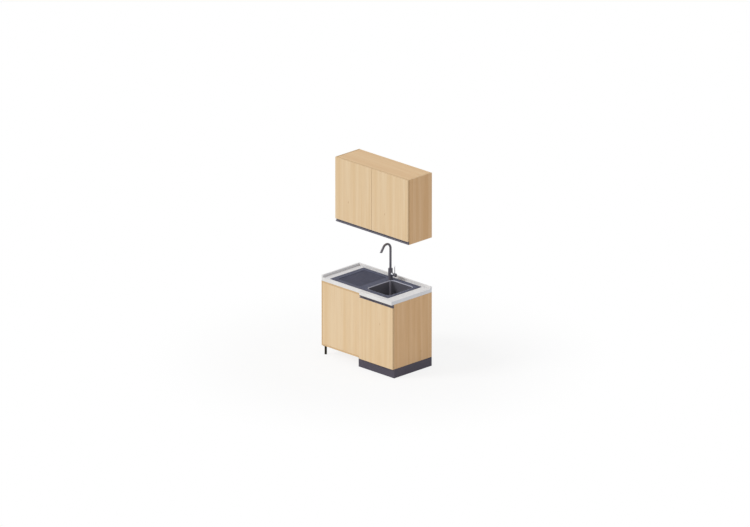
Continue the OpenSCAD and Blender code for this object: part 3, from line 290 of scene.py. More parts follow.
# Middle of each knot, where the sheet of the front or side has one: from the front's lower left corner
WALL_DOOR_KNOT = Vector((195 * MM, 0, 224 * MM))
BASE_DOOR_KNOT = Vector((310 * MM, 0, 461 * MM))
BASE_SIDE_KNOT = (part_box("base_side_right")[1].x, 139 * MM, 205 * MM)

# Marks finer than a picture can show are drawn coarser. The grit of the laminate is 1 mm, that of the
# composite 0.8 mm and the grip of its tray 1.5 mm. Brushed lines are 0.2 mm wide, an embossed foil's grain
# 1 mm and a mould's grain 0.3 mm.
FINISH = {
    "door_left": oak_decor("oak_melamine_door_left", "z", knot=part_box("wall_door_left")[0] + WALL_DOOR_KNOT),
    "door_right": oak_decor("oak_melamine_door_right", "z",
                            knot=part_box("wall_door_right")[0] + WALL_DOOR_KNOT),
    "door_base": oak_decor("oak_melamine_base_door", "z", knot=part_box("base_door")[0] + BASE_DOOR_KNOT),
    "blind": oak_decor("oak_melamine_blind_panel", "z"),
    "side": oak_decor("oak_melamine_side", "z", SIDE_WOOD, knot=BASE_SIDE_KNOT),
    "inside": oak_decor("oak_melamine_inside", "z"),
    "level": oak_decor("oak_melamine_level", "x", LEVEL_WOOD),
    "edge": edge_banding(),
    "core": chipboard_core(),
    # High pressure laminate, pressed matt: pale grey with fine grit
    "worktop": speckled("laminate_pressed_matt", "#e5e5e7", "#d9d9db", "#eeeef0", 3.0, (0.45, 0.58), 0.1,
                        1.45, share=0.45),
    # The same laminate bent over the front edge, a touch warmer
    "worktop_front": speckled("laminate_postformed_edge", "#e2e1e0", "#d6d5d4", "#ecebea", 3.0, (0.45, 0.58),
                              0.1, 1.45, share=0.45),
    # Its ends are edge bands of the same laminate, a little cooler
    "worktop_end": speckled("laminate_edge_band", "#dddee2", "#d1d2d7", "#e8e9ec", 3.0, (0.5, 0.6), 0.1, 1.4,
                            share=0.45),
    # Quartz composite, cast in a mould: dark blue grey with grit of quartz
    "sink": speckled("quartz_composite_cast", "#474b60", "#35384a", "#6c7090", 2.5, (0.5, 0.65), 0.2, 1.35,
                     share=0.55),
    # The tray's floor has a coarser grip, which looks darker and mottled
    "sink_tray": speckled("quartz_composite_textured", "#393b4d", "#282937", "#62647f", 3.5, (0.6, 0.75), 0.3,
                          1.35, share=0.7, cloud_mm=18, cloudy=0.07),
    # The bowl is rubbed smooth and evenly grey: its colour is painted paler than the deck's, which cancels the
    # shade inside the bowl, and it has a painted highlight in its upright corners
    "sink_bowl": speckled("quartz_composite_bowl_painted_light", "#64636c", "#5c5b64", "#717079", 2.5, (0.4, 0.5), 0.1,
                          1.35, share=0.4, painted_highlight="#a5a3b0"),
    # Its rounded rim is polished smooth, and painted pale as a painted highlight
    "sink_rim_painted_highlight": speckled("quartz_composite_painted_highlight", "#b3b5c4", "#a4a6b5", "#c6c8d6", 2.0, (0.2, 0.3), 0.05,
                         1.5, share=0.4),
    # Anodised aluminium, drawn through a die: dark satin, with lines along the profile
    "alu": coated_metal("aluminium_anodised_dark", "#686570", "#605d68", 0.3, (0.4, 0.55), brush_mm=1.5,
                        bare="#a5a4ae"),
    # The same profile where it is cut after the anodising: bare and bright
    "alu_edge": coated_metal("aluminium_cut_edge", "#b9b8c4", "#aaa9b5", 0.8, (0.2, 0.32), brush_mm=1.5),
    # Plinth board with a foil of PVC, embossed satin: dark grey
    "plinth": moulded("pvc_foil_embossed_dark", "#524e59", "#4d4954", (0.5, 0.65), 3.0, ior=1.3),
    # Brass under an electro-coat, which is a paint: dark grey, satin, with a soft highlight and paler edges
    "tap": coated_metal("brass_electrocoated_dark", "#68666f", "#625f69", 0.0, (0.16, 0.22), bare="#8b8890",
                        gloss=0.35),
    # Brass, chrome plated and polished: bright and mirror-like
    "chrome": coated_metal("brass_chrome_plated", "#d8d9dd", "#cbccd2", 1.0, (0.06, 0.14)),
    # Stainless steel, brushed: bright with fine lines
    "steel": coated_metal("stainless_steel_brushed", "#bdbec2", "#aeafb4", 1.0, (0.22, 0.36), brush_mm=1.2),
    # Steel, zinc plated: bluish grey, dull and slightly patchy
    "zinc": coated_metal("steel_zinc_plated", "#b4b8bd", "#a9adb2", 1.0, (0.3, 0.42)),
    # Hardboard, lacquered white on the face: smooth with a faint fibre
    "hardboard": moulded("hardboard_lacquered_white", "#ebe8e1", "#e2dfd7", (0.5, 0.7), 3.0),
    # Polypropylene, injection moulded: white and slightly waxy
    "white": moulded("polypropylene_moulded_white", "#e6e6e3", "#dbdbd8", (0.38, 0.5), 1.5),
    # ABS, injection moulded: near black brown with a fine grain
    "dark": moulded("abs_moulded_dark", "#241d09", "#1c1606", (0.75, 0.9), 1.2, ior=1.25),
    # Sealing silicone, drawn off by hand: pale grey, smooth and slightly wavy
    "seal": moulded("silicone_sealant_drawn", "#c9c9cb", "#bcbcbf", (0.3, 0.45), 12.0, ior=1.41),
    # Foam rubber tape, cut: black and dull
    "gasket": moulded("foam_rubber_cut", "#2b2c33", "#23242a", (0.8, 0.95), 1.0, ior=1.3),
    # Silicone rubber, moulded: milky and soft
    "buffer": moulded("silicone_moulded_clear", "#dfdfdc", "#d3d3d0", (0.35, 0.45), 1.0, ior=1.41,
                      through=0.3),
    # Beech, turned and fluted: reddish blond
    "beech": oak_decor("beech_turned", "x", BEECH_WOOD),
}

# The finish of the nodes that keep their own mesh
KEPT = {
    "beech": ["carcass_dowels"],
    "zinc": ["cam_fittings", "sink_clips", "hinge_plates", "hinge_arms", "base_hinge_cups",
             "base_hinge_links", "wall_hinge_cups_left", "wall_hinge_links_left", "wall_hinge_cups_right",
             "wall_hinge_links_right", "wall_hangers", "wall_rail", "shelf_pins", "tap_fixing_nut"],
    "dark": ["legs", "leg_feet", "plinth_clips"],
    "steel": ["waste_flange", "strainer_basket", "spout_aerator", "lever_spindle"],
    "white": ["waste_body", "overflow_pipe", "trap_body", "trap_cup", "waste_nuts", "outlet_pipe",
              "tap_cartridge"],
    "buffer": ["door_buffers"],
    "hardboard": ["base_back_panel", "wall_back_panel"],
}
for finish, names in KEPT.items():
    for name in names:
        slots = NODES[name].data.materials
        slots.clear()
        slots.append(FINISH[finish])


# Making pieces

def body_of_node(name):
    return NODES[name]["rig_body"]


def middle(low, high):
    return (low + high) / 2


def piece(name, bm, finishes, body, sharp=35):
    """Turns a mesh in the making into a piece on a body, smooth but for its sharp edges."""
    bmesh.ops.recalc_face_normals(bm, faces=bm.faces)
    for face in bm.faces:
        face.smooth = True
    mesh = bpy.data.meshes.new(name)
    bm.to_mesh(mesh)
    bm.free()
    mesh.set_sharp_from_angle(angle=math.radians(sharp))
    for finish in finishes:
        mesh.materials.append(FINISH[finish])
    made = bpy.data.objects.new(name, mesh)
    bpy.context.scene.collection.objects.link(made)
    even = made.modifiers.new("even_shading", "WEIGHTED_NORMAL")
    even.keep_sharp = True
    even.weight = 90
    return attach(made, body)


def dressed(node, finishes, round_mm, pick=None, least_mm=25, steps=2, steepest=50, edge=None):
    """A piece in a CAD node's shape, with its outer edges rounded, but for those shorter than least_mm and
    those that turn by less than steepest degrees. pick(face) gives the number of a face's finish, and edge
    is the number of the rounded edges' finish."""
    bm = bmesh.new()
    bm.from_mesh(NODES[node].data)
    bmesh.ops.remove_doubles(bm, verts=bm.verts, dist=WELD)
    bmesh.ops.dissolve_limit(bm, angle_limit=math.radians(0.4), verts=bm.verts, edges=bm.edges)
    bm.normal_update()
    for face in bm.faces:
        face.material_index = pick(face) if pick else 0
    outer = [e for e in bm.edges if len(e.link_faces) == 2 and e.calc_length() > least_mm * MM
             and e.is_convex and e.calc_face_angle() > math.radians(steepest)]
    if outer:
        bmesh.ops.bevel(bm, geom=outer, offset=round_mm * MM, offset_type="OFFSET", segments=steps,
                        profile=0.5, affect="EDGES", clamp_overlap=False, loop_slide=True,
                        material=-1 if edge is None else edge)
    made = piece(node + "_finished", bm, finishes, body_of_node(node))
    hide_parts(node)
    return made


def by_normal(face):
    """The axis that a face looks along: 0, 1 or 2, and whether it looks the positive way."""
    axis = max(range(3), key=lambda i: abs(face.normal[i]))
    return axis, face.normal[axis] > 0


# Boards: finish 0 is the decor on both faces, 1 the edge band on edges that show, 2 the sawn core

def upright_side(face):
    axis, positive = by_normal(face)
    if axis == 1 and positive:
        return 2
    return 0 if axis == 0 else 1


def unbanded_side(face):
    """The wall unit's left board shows the darker sawn core on its top and bottom ends."""
    return 2 if by_normal(face)[0] == 2 else upright_side(face)


def level_board(face):
    axis, positive = by_normal(face)
    if axis == 1 and not positive:
        return 1
    return 0 if axis == 2 else 2


def front_panel(face):
    return 0 if by_normal(face)[0] == 1 else 1


def worktop_slab(face):
    """Finish 0 is the top, 1 the front, 2 the ends, and 3 the core on the underside."""
    axis, positive = by_normal(face)
    return 3 if axis == 2 and not positive else (2, 1, 0)[axis]


def lip_of_handle(face, front):
    """The thin lip at the door's edge is cut bright: the faces that stand furthest out."""
    return 1 if face.calc_center_median().y < front + 0.3 * MM else 0


# How far edges are rounded, in mm, and the shortest edge that is rounded on the tap's pieces
BOARD_EDGE, WORKTOP_EDGE, UPSTAND_EDGE, PROFILE_EDGE = 0.8, 2.5, 2.0, 0.5
CAST_EDGE, TUBE_EDGE, STICK_EDGE, TAP_LEAST = 2.0, 0.4, 0.2, 0.2
LAMINATE = ["worktop", "worktop_front", "worktop_end", "core"]

for node, finish, pick in (("base_side_left", "inside", upright_side),
                           ("base_side_right", "side", upright_side),
                           ("wall_side_left", "inside", unbanded_side),
                           ("wall_side_right", "side", upright_side)):
    dressed(node, [finish, "edge", "core"], BOARD_EDGE, pick, edge=1)
for node in ("base_bottom", "base_front_rail", "wall_top", "wall_bottom", "wall_shelf"):
    dressed(node, ["level", "edge", "core"], BOARD_EDGE, level_board, edge=1)
for node, finish in (("blind_panel", "blind"), ("base_back_rail", "level"), ("corner_post", "inside"),
                     ("base_door", "door_base"), ("wall_door_left", "door_left"),
                     ("wall_door_right", "door_right")):
    dressed(node, [finish, "edge"], BOARD_EDGE, front_panel, edge=1)

dressed("worktop", LAMINATE, WORKTOP_EDGE, worktop_slab, steps=3)
for node in ("upstand_back", "upstand_left"):
    dressed(node, LAMINATE, UPSTAND_EDGE, worktop_slab, steps=3)
for node in ("plinth_front", "plinth_side"):
    dressed(node, ["plinth"], BOARD_EDGE)
for node in ("base_door_handle", "wall_handle_left", "wall_handle_right"):
    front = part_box(node)[0].y
    dressed(node, ["alu", "alu_edge"], PROFILE_EDGE,
            lambda face: lip_of_handle(face, front), steps=1, edge=1)
dressed("tap_body", ["tap"], CAST_EDGE, least_mm=TAP_LEAST, steps=3)
dressed("tap_spout", ["tap"], TUBE_EDGE, least_mm=TAP_LEAST, steepest=60)
dressed("lever_ball", ["tap"], TUBE_EDGE, least_mm=TAP_LEAST, steepest=60)
dressed("lever_stick", ["chrome"], STICK_EDGE, least_mm=TAP_LEAST, steepest=60)


# Rings of points, and skins between them

def rounded(x0, x1, y0, y1, r, z, inset=0.0, steps=8):
    """Points of a rectangle with round corners, anticlockwise from above. An inset makes it smaller all
    round."""
    x0, x1, y0, y1, r = x0 + inset, x1 - inset, y0 + inset, y1 - inset, max(r - inset, 0.3 * MM)
    corners = ((x1 - r, y0 + r, -90), (x1 - r, y1 - r, 0), (x0 + r, y1 - r, 90), (x0 + r, y0 + r, 180))
    points = []
    for cx, cy, turn in corners:
        for i in range(steps + 1):
            a = math.radians(turn + 90 * i / steps)
            points.append((cx + r * math.cos(a), cy + r * math.sin(a), z))
    return points


def circle(x, y, r, z, steps=48):
    return [(x + r * math.cos(2 * math.pi * i / steps), y + r * math.sin(2 * math.pi * i / steps), z)
            for i in range(steps)]


def quarter(steps=5):
    """Sine and cosine of the angles of a quarter turn."""
    return [(math.sin(a), math.cos(a)) for a in (math.pi / 2 * i / steps for i in range(steps + 1))]


def joined(bm, one, other, finish=0):
    """Joins two rings that are there already."""
    for i in range(len(one)):
        j = (i + 1) % len(one)
        bm.faces.new((one[i], one[j], other[j], other[i])).material_index = finish


def skin(bm, rings, finish=0):
    """Joins rings of points, one to the next, and returns the first and last ring's vertices."""
    rows = [[bm.verts.new(p) for p in ring] for ring in rings]
    for low, high in zip(rows, rows[1:]):
        joined(bm, low, high, finish)
    return rows[0], rows[-1]


def closed_skin(bm, rings):
    """A skin with its first and last ring filled."""
    for end in skin(bm, rings):
        bm.faces.new(end)


def plate(bm, *loops, finish=0):
    """Fills the flat area between an outer loop and the holes in it."""
    edges = []
    for loop in loops:
        for a, b in zip(loop, loop[1:] + loop[:1]):
            edges.append(bm.edges.get((a, b)) or bm.edges.new((a, b)))
    filled = bmesh.ops.triangle_fill(bm, use_beauty=True, use_dissolve=False, edges=edges)
    for part in filled["geom"]:
        if isinstance(part, bmesh.types.BMFace):
            part.material_index = finish


# Sink, cast in one: edge, deck, bowl and drainer. Its measures are from the photo and from such sinks.

SINK_CORNER, SINK_EDGE = 8 * MM, 3 * MM  # the outline's corners seen from above, and the rounded outer edge
SINK_WALL, DECK_THICK = 8 * MM, 12 * MM
LAP_RIB_OUTER, LAP_RIB_INNER, LAP_RIB_DEEP = 14 * MM, 20 * MM, 24 * MM  # rib under the lap, in from the edge
BOWL_WIDE, BOWL_LONG, BOWL_CORNER = 325 * MM, 375 * MM, 45 * MM
BOWL_RIM, BOWL_FOOT = 7 * MM, 20 * MM    # how far the bowl is rounded at its mouth and round its floor
WASTE_RECESS_R, WASTE_RECESS_DEEP, WASTE_HOLE_R = 56.1 * MM, 2 * MM, 45 * MM
TAP_HOLE_R = 16.1 * MM
TRAY_WIDE, TRAY_LONG, TRAY_CORNER = 330 * MM, 400 * MM, 24 * MM
TRAY_FROM_LEFT, TRAY_FROM_FRONT = 66 * MM, 48 * MM
TRAY_DEEP, TRAY_ROUND = 4 * MM, 2 * MM
DRAIN_RIBS, DRAIN_RIB_PITCH, DRAIN_RIB_HALF, DRAIN_RIB_FROM_END = 10, 36 * MM, 4 * MM, 26 * MM
DRAIN_RIB_OUTLINE = ((0.0, 0.0), (0.4, 0.8), (1.0, 1.4), (1.8, 1.6))  # how far in and how high, in mm
DECK, TRAY, BOWL, RIM_HIGHLIGHT = range(4)         # the sink's finishes


def make_sink():
    low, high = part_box("sink")
    waste, tap = middle(*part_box("waste_flange")), middle(*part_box("tap_fixing_nut"))
    top, bowl_under = high.z, low.z
    bowl_floor, deck_under = bowl_under + SINK_WALL, top - DECK_THICK
    lap_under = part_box("worktop")[1].z
    outline = (low.x, high.x, low.y, high.y, SINK_CORNER)
    bowl = (waste.x - BOWL_WIDE / 2, waste.x + BOWL_WIDE / 2,
            waste.y - BOWL_LONG / 2, waste.y + BOWL_LONG / 2, BOWL_CORNER)
    tray_left, tray_front = low.x + TRAY_FROM_LEFT, low.y + TRAY_FROM_FRONT
    tray = (tray_left, tray_left + TRAY_WIDE, tray_front, tray_front + TRAY_LONG, TRAY_CORNER)
    tray_floor = top - TRAY_DEEP
    bm = bmesh.new()
    # Outer edge: from under the lap, over the rounded edge, to the deck
    edge_rings = [rounded(*outline, lap_under)]
    edge_rings += [rounded(*outline, top - SINK_EDGE + SINK_EDGE * s, SINK_EDGE * (1 - c))
                   for s, c in quarter()]
    lap, deck = skin(bm, edge_rings)
    # The rib under the lap, and the deck's underside
    rib = ((LAP_RIB_OUTER, lap_under), (LAP_RIB_OUTER, lap_under - LAP_RIB_DEEP),
           (LAP_RIB_INNER, lap_under - LAP_RIB_DEEP), (LAP_RIB_INNER, deck_under))
    rib_top, under = skin(bm, [rounded(*outline, z, inset) for inset, z in rib])
    plate(bm, lap, rib_top)
    # Bowl: rounded rim with its painted highlight, wall, hollow of the floor, recess of the waste
    mouth, rim_foot = skin(bm, [rounded(*bowl, top - BOWL_RIM + BOWL_RIM * c, -BOWL_RIM + BOWL_RIM * s)
                                for s, c in quarter()], RIM_HIGHLIGHT)
    wall_top, floor = skin(bm, [rounded(*bowl, bowl_floor + BOWL_FOOT - BOWL_FOOT * s, BOWL_FOOT * (1 - c))
                                for s, c in quarter()], BOWL)
    joined(bm, rim_foot, wall_top, BOWL)
    outer_foot = BOWL_FOOT + SINK_WALL
    outer = [rounded(*bowl, deck_under, -SINK_WALL)]
    outer += [rounded(*bowl, bowl_under + outer_foot - outer_foot * s, -SINK_WALL + outer_foot * (1 - c))
              for s, c in quarter()]
    shell_top, shell_foot = skin(bm, outer)
    hole = ((WASTE_RECESS_R, bowl_floor), (WASTE_RECESS_R, bowl_floor - WASTE_RECESS_DEEP),
            (WASTE_HOLE_R, bowl_floor - WASTE_RECESS_DEEP), (WASTE_HOLE_R, bowl_under))
    waste_top, waste_foot = skin(bm, [circle(waste.x, waste.y, r, z) for r, z in hole])
    plate(bm, floor, waste_top, finish=BOWL)
    plate(bm, shell_foot, waste_foot)
    tap_top, tap_under = skin(bm, [circle(tap.x, tap.y, TAP_HOLE_R, z, 32) for z in (top, deck_under)])
    plate(bm, under, shell_top, tap_under)
    # Drainer: a shallow tray with ribs that lead the water. Their crowns are rubbed as pale as the deck.
    tray_rings = [rounded(*tray, top - TRAY_ROUND + TRAY_ROUND * c, -TRAY_ROUND + TRAY_ROUND * s)
                  for s, c in quarter(4)]
    tray_rings += [rounded(*tray, tray_floor + TRAY_ROUND - TRAY_ROUND * s, TRAY_ROUND * (1 - c))
                   for s, c in quarter(4)]
    tray_edge, tray_base = skin(bm, tray_rings)
    plate(bm, deck, mouth, tap_top, tray_edge)
    feet = []
    first = (tray[2] + tray[3] - (DRAIN_RIBS - 1) * DRAIN_RIB_PITCH) / 2
    for i in range(DRAIN_RIBS):
        y = first + i * DRAIN_RIB_PITCH
        sides = (tray[0] + DRAIN_RIB_FROM_END, tray[1] - DRAIN_RIB_FROM_END, y - DRAIN_RIB_HALF,
                 y + DRAIN_RIB_HALF, DRAIN_RIB_HALF - 0.1 * MM)
        foot, crown = skin(bm, [rounded(*sides, tray_floor + up * MM, inset * MM, 5)
                                for inset, up in DRAIN_RIB_OUTLINE], TRAY)
        bm.faces.new(crown).material_index = DECK
        feet.append(foot)
    plate(bm, tray_base, *feet, finish=TRAY)
    made = piece("sink_cast", bm, ["sink", "sink_tray", "sink_bowl", "sink_rim_painted_highlight"], body_of_node("sink"),
                 40)
    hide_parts("sink")


# Seals: the gasket's outline as how far in from the sink's edge and how high, in mm, and the bead's size

GASKET = ((2.0, 0.0), (-0.9, 0.0), (-0.9, 0.7), (-0.3, 1.1), (2.0, 1.1))
BEAD, BEAD_FROM_TOP, BEAD_STEPS = 3.5 * MM, 2 * MM, 24


def make_seals():
    """Gasket under the sink's lap, and sealant where the upstands stand on the worktop and meet."""
    low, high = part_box("sink")
    lap_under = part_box("worktop")[1].z
    bm = bmesh.new()
    outline = (low.x, high.x, low.y, high.y, SINK_CORNER)
    first, last = skin(bm, [rounded(*outline, lap_under + up * MM, inset * MM) for inset, up in GASKET])
    joined(bm, last, first)
    piece("sink_gasket", bm, ["gasket"], body_of_node("sink"))
    back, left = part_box("upstand_back"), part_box("upstand_left")
    corner = Vector((left[1].x, back[0].y, back[0].z))
    x_way, y_way, z_way = Vector((1, 0, 0)), Vector((0, -1, 0)), Vector((0, 0, 1))
    bm = bmesh.new()
    # Along the back, along the left side, and up the corner between the two: end, and the two ways out
    for end, out, up in ((Vector((back[1].x, corner.y, corner.z)), y_way, z_way),
                         (Vector((corner.x, left[0].y, corner.z)), x_way, z_way),
                         (Vector((corner.x, corner.y, back[1].z - BEAD_FROM_TOP)), x_way, y_way)):
        ring = [Vector((0, 0, 0))] + [out * (BEAD * (1 - s)) + up * (BEAD * (1 - c)) for s, c in quarter(4)]
        closed_skin(bm, [[tuple(corner.lerp(end, t / BEAD_STEPS) + p) for p in ring]
                         for t in range(BEAD_STEPS + 1)])
    piece("upstand_sealant", bm, ["seal"], body_of_node("worktop"))


# Tap's trim: outlines in mm. Rings round the foot and the spout, as how far out from what they go round and
# how high; the cap over the cartridge, as its radius and height; and the sleeve over the hub's edge, as how
# far out from the hub and how far past its end, or None where it starts inside the body.

FOOT_RING = ((-1.0, 0.0), (1.6, 0.0), (1.6, 1.0), (1.1, 1.6), (-1.0, 1.8))
SPOUT_COLLAR = ((0.5, -0.5), (3.6, -0.5), (3.6, 1.0), (2.6, 2.2), (0.9, 2.6), (0.5, 2.2))
CARTRIDGE_CAP = ((4.5, 0.1), (12.9, 0.1), (12.9, 1.3), (12.3, 1.9), (5.1, 2.3), (4.5, 1.9))
HUB_SLEEVE = ((-0.5, None), (0.5, None), (0.5, -1.2), (0.1, -0.1), (-0.6, 0.2))
HUB_R, SLEEVE_IN_BODY = 17.0, 4.0


def turned_ring(bm, outline, place, steps):
    """A ring turned from its outline, which meets itself: radius and height in mm."""
    rows = [[bm.verts.new(place @ Vector(p)) for p in circle(0, 0, r * MM, h * MM, steps)]
            for r, h in outline]
    for low, high in zip(rows, rows[1:] + rows[:1]):
        joined(bm, low, high)


def make_tap_trim():
    """Foot ring, collar round the spout, cap over the cartridge, and sleeve on the hub."""
    body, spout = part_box("tap_body"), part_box("tap_spout")
    tap = middle(*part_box("tap_fixing_nut"))
    lever_z = middle(*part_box("lever_ball")).z
    body_r = (body[1].y - body[0].y) / 2 / MM
    spout_r = (spout[1].x - spout[0].x) / 2 / MM
    bm = bmesh.new()
    turned_ring(bm, [(body_r + out, h) for out, h in FOOT_RING],
                Matrix.Translation((tap.x, tap.y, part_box("sink")[1].z)), 64)
    turned_ring(bm, [(spout_r + out, h) for out, h in SPOUT_COLLAR],
                Matrix.Translation((tap.x, tap.y, body[1].z)), 48)
    piece("tap_rings", bm, ["tap"], body_of_node("tap_body"))
    along_x = Matrix.Rotation(math.radians(90), 4, "Y")
    bm = bmesh.new()
    cap_at = Matrix.Translation((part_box("tap_cartridge")[1].x, tap.y, lever_z))
    turned_ring(bm, CARTRIDGE_CAP, cap_at @ along_x, 48)
    piece("cartridge_cap", bm, ["chrome"], body_of_node("tap_body"))
    bm = bmesh.new()
    start, end = body_r - SLEEVE_IN_BODY, (body[1].x - tap.x) / MM
    turned_ring(bm, [(HUB_R + out, start if past is None else end + past) for out, past in HUB_SLEEVE],
                Matrix.Translation((tap.x, tap.y, lever_z)) @ along_x, 64)
    piece("hub_sleeve", bm, ["chrome"], body_of_node("tap_body"))


def solids_of(node):
    """Lowest and highest corner of each separate solid in a CAD node."""
    bm = bmesh.new()
    bm.from_mesh(NODES[node].data)
    bmesh.ops.remove_doubles(bm, verts=bm.verts, dist=WELD)
    reached, boxes = set(), []
    for first in bm.verts:
        if first in reached:
            continue
        reached.add(first)
        solid = [first]
        for vertex in solid:
            others = [edge.other_vert(vertex) for edge in vertex.link_edges]
            solid += [other for other in others if other not in reached]
            reached.update(others)
        boxes.append([Vector([most(v.co[i] for v in solid) for i in range(3)]) for most in (min, max)])
    bm.free()
    return boxes


# Screw heads: their radius, and where they sit on their fitting, all in mm

PLATE_HEAD, PLATE_FROM_FRONT, PLATE_UP = 3.8, 18, (-16, 16)
ARM_HEAD, ARM_FROM_BACK = 3.2, (9, 27)
HANGER_HEAD, HANGER_UP = 3.6, (14, -10)
LEG_HEAD, LEG_OUT, LEG_FLANGE = 3.4, (-17, 17), 4
CUP_HEAD, CUP_IN, CUP_UP = 3.4, 5.5, (-22, 22)
# A pan head from its foot to the bottom of its cross recess: share of its radius, height in radii, and how
# far the ring is drawn in to a cross
PAN_HEAD = ((1.0, 0.0, 0.0), (1.0, 0.22, 0.0), (0.86, 0.42, 0.0), (0.62, 0.52, 0.0), (0.56, 0.52, 0.7),
            (0.4, 0.12, 0.7))
HEAD_STEPS = 32


def screw_head(bm, at, out, r_mm):
    """A pan head with a cross recess: at is the middle of its underside, out the way that it looks."""
    place = Matrix.Translation(at) @ Vector(out).to_track_quat("Z", "Y").to_matrix().to_4x4()
    turns = [2 * math.pi * i / HEAD_STEPS for i in range(HEAD_STEPS)]
    rows = []
    for share, rise, cross in PAN_HEAD:
        radii = [share * r_mm * MM * (1 - cross + cross * abs(math.cos(2 * a)) ** 3) for a in turns]
        rows.append([tuple(place @ Vector((r * math.cos(a), r * math.sin(a), rise * r_mm * MM)))
                     for r, a in zip(radii, turns)])
    closed_skin(bm, rows)


def side_fitting(low, high):
    """For a fitting on a side board: its face's X, and the way that it looks, which is inwards."""
    return (low.x, Vector((-1, 0, 0))) if low.x > 0 else (high.x, Vector((1, 0, 0)))


def make_screws():
    """Heads of the screws that hold the hinges, the hangers and the legs."""
    bm = bmesh.new()
    for low, high in solids_of("hinge_plates"):
        face_x, out = side_fitting(low, high)
        for up in PLATE_UP:
            at = (face_x, low.y + PLATE_FROM_FRONT * MM, middle(low, high).z + up * MM)
            screw_head(bm, at, out, PLATE_HEAD)
    for low, high in solids_of("hinge_arms"):
        face_x, out = side_fitting(low, high)
        for back in ARM_FROM_BACK:
            screw_head(bm, (face_x, high.y - back * MM, middle(low, high).z), out, ARM_HEAD)
    for low, high in solids_of("wall_hangers"):
        for up in HANGER_UP:
            at = (middle(low, high).x, low.y, middle(low, high).z + up * MM)
            screw_head(bm, at, (0, -1, 0), HANGER_HEAD)
    piece("fitting_screws", bm, ["zinc"], body_of_node("hinge_plates"))
    bm = bmesh.new()
    for low, high in solids_of("legs"):
        leg = middle(low, high)
        for x in LEG_OUT:
            for y in LEG_OUT:
                at = (leg.x + x * MM, leg.y + y * MM, high.z - LEG_FLANGE * MM)
                screw_head(bm, at, (0, 0, -1), LEG_HEAD)
    piece("leg_screws", bm, ["zinc"], body_of_node("legs"))
    for door, cups in (("base", "base_hinge_cups"), ("left", "wall_hinge_cups_left"),
                       ("right", "wall_hinge_cups_right")):
        bm = bmesh.new()
        for low, high in solids_of(cups):
            inwards = side_fitting(low, high)[1].x
            for up in CUP_UP:
                at = (middle(low, high).x + inwards * CUP_IN * MM, high.y, middle(low, high).z + up * MM)
                screw_head(bm, at, (0, 1, 0), CUP_HEAD)
        piece("cup_screws_" + door, bm, ["zinc"], body_of_node(cups))


# Grip ribs: how many go round, how thick they are and how far they end from the top, in mm, and their
# length, or None where they end as far from the foot

GRIPS = {"waste_nuts": (28, 1.0, 2.0, None), "trap_cup": (44, 0.9, 2.5, 15.0)}
GRIP_SUNK, GRIP_STEPS = 0.3 * MM, 5


def make_grips():
    """Ribs for the hand round the union nuts and round the collar of the trap's cup."""
    bm = bmesh.new()
    half_round = [(math.cos(math.pi * i / GRIP_STEPS), math.sin(math.pi * i / GRIP_STEPS))
                  for i in range(GRIP_STEPS + 1)]
    for node, (count, thick, from_top, length) in GRIPS.items():
        for low, high in solids_of(node):
            size = high - low
            along = min(range(3), key=lambda i: abs(size[(i + 1) % 3] - size[(i + 2) % 3]))
            axis, u = Vector((0, 0, 0)), Vector((0, 0, 0))
            axis[along], u[(along + 1) % 3] = 1.0, 1.0
            v = axis.cross(u)
            radius = size[(along + 1) % 3] / 2 - GRIP_SUNK
            end = size[along] / 2 - from_top * MM
            start = end - length * MM if length else -end
            for i in range(count):
                turn = 2 * math.pi * i / count
                out, side = u * math.cos(turn) + v * math.sin(turn), v * math.cos(turn) - u * math.sin(turn)
                closed_skin(bm, [[tuple(middle(low, high) + axis * t + out * (radius + thick * MM * s)
                                        + side * (thick * MM * c)) for c, s in half_round]
                                 for t in (start, end)])
    piece("grip_ribs", bm, ["white"], body_of_node("trap_cup"))


make_sink()
make_seals()
make_tap_trim()
make_screws()
make_grips()


# Room: a pale floor that keeps a soft shadow, and a white surround

WHITE = (1.0, 1.0, 1.0, 1.0)
FLOOR_R, FLOOR_DROP = 9.0, 0.5 * MM
SKY_STRENGTH, LAMP_STRENGTH = 0.66, 1.26
LAMP_WIDTH = math.radians(20)               # how wide the lamp looks, which softens its shadows
TO_LAMP = Vector((-0.45, -0.66, 0.60))      # in front, above and a little to the left
AIM, TO_CAMERA, CAMERA_FAR = Vector((-0.0021, -0.0021, 1.0802)), Vector((2, -2, 1)) / 3, 197.0


def seen_directly(tree):
    """1 for what the camera sees, in reflections and through clear things too, and 0 for light on things."""
    rays = add(tree, "LightPath")
    seen = add(tree, "Math", {0: rays.outputs["Is Camera Ray"], 1: rays.outputs["Is Glossy Ray"]},
               operation="MAXIMUM")
    return add(tree, "Math", {0: seen, 1: rays.outputs["Is Transmission Ray"]}, operation="MAXIMUM")


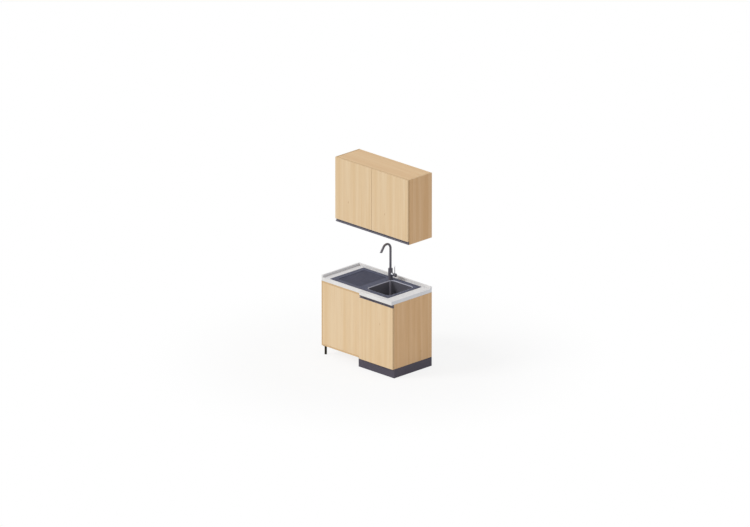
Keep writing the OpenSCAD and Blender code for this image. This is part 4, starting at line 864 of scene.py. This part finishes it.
def floor_paint():
    """Matt white paint. To the camera and in reflections it is lifted towards the white surround, by most of
    the way near the object and fully from 2.6 m on."""
    material, tree = blank("floor_paint_matt")
    place = add(tree, "TexCoord").outputs["Object"]
    far = add(tree, "VectorMath", {0: place}, operation="LENGTH").outputs["Value"]
    lift = add(tree, "MapRange", {"Value": far, "From Min": 1.0, "From Max": 2.6, "To Min": 0.82,
                                  "To Max": 1.0}, interpolation_type="SMOOTHSTEP")
    share = add(tree, "Math", {0: lift, 1: seen_directly(tree)}, operation="MULTIPLY")
    paint = add(tree, "BsdfDiffuse", {"Color": tone("#f4f4f4")})
    white = add(tree, "Emission", {"Color": WHITE, "Strength": 1.0})
    add(tree, "OutputMaterial", {"Surface": add(tree, "MixShader", {0: share, 1: paint, 2: white})})
    return material


def make_floor():
    bm = bmesh.new()
    bm.faces.new([bm.verts.new(p) for p in circle(0, 0, FLOOR_R, 0, 96)])
    mesh = bpy.data.meshes.new("floor")
    bm.to_mesh(mesh)
    bm.free()
    mesh.materials.append(floor_paint())
    floor = bpy.data.objects.new("floor", mesh)
    floor.location.z = -FLOOR_DROP
    bpy.context.scene.collection.objects.link(floor)


def make_light():
    """A white surround that is soft light on the object, and one broad soft lamp."""
    world = bpy.data.worlds.new("surround")
    bpy.context.scene.world = world
    world.use_nodes = True
    tree = world.node_tree
    tree.nodes.clear()
    sky = add(tree, "Background", {"Color": WHITE, "Strength": SKY_STRENGTH})
    white = add(tree, "Background", {"Color": WHITE, "Strength": 1.0})
    add(tree, "OutputWorld", {"Surface": add(tree, "MixShader", {0: seen_directly(tree), 1: sky, 2: white})})
    lamp = bpy.data.lights.new("soft_lamp", "SUN")
    lamp.energy = LAMP_STRENGTH
    lamp.angle = LAMP_WIDTH
    made = bpy.data.objects.new("soft_lamp", lamp)
    made.rotation_euler = TO_LAMP.to_track_quat("Z", "Y").to_euler()
    bpy.context.scene.collection.objects.link(made)


def make_camera():
    """A long lens from far away, because the view has parallel lines: from the front right and above."""
    lens = bpy.data.cameras.new("view")
    lens.lens = 900
    lens.sensor_width = 36
    lens.clip_end = 500
    made = bpy.data.objects.new("view", lens)
    made.location = AIM + TO_CAMERA * CAMERA_FAR
    made.rotation_euler = TO_CAMERA.to_track_quat("Z", "Y").to_euler()
    bpy.context.scene.collection.objects.link(made)
    bpy.context.scene.camera = made


make_floor()
make_light()
make_camera()
bpy.context.scene.view_settings.view_transform = "Standard"
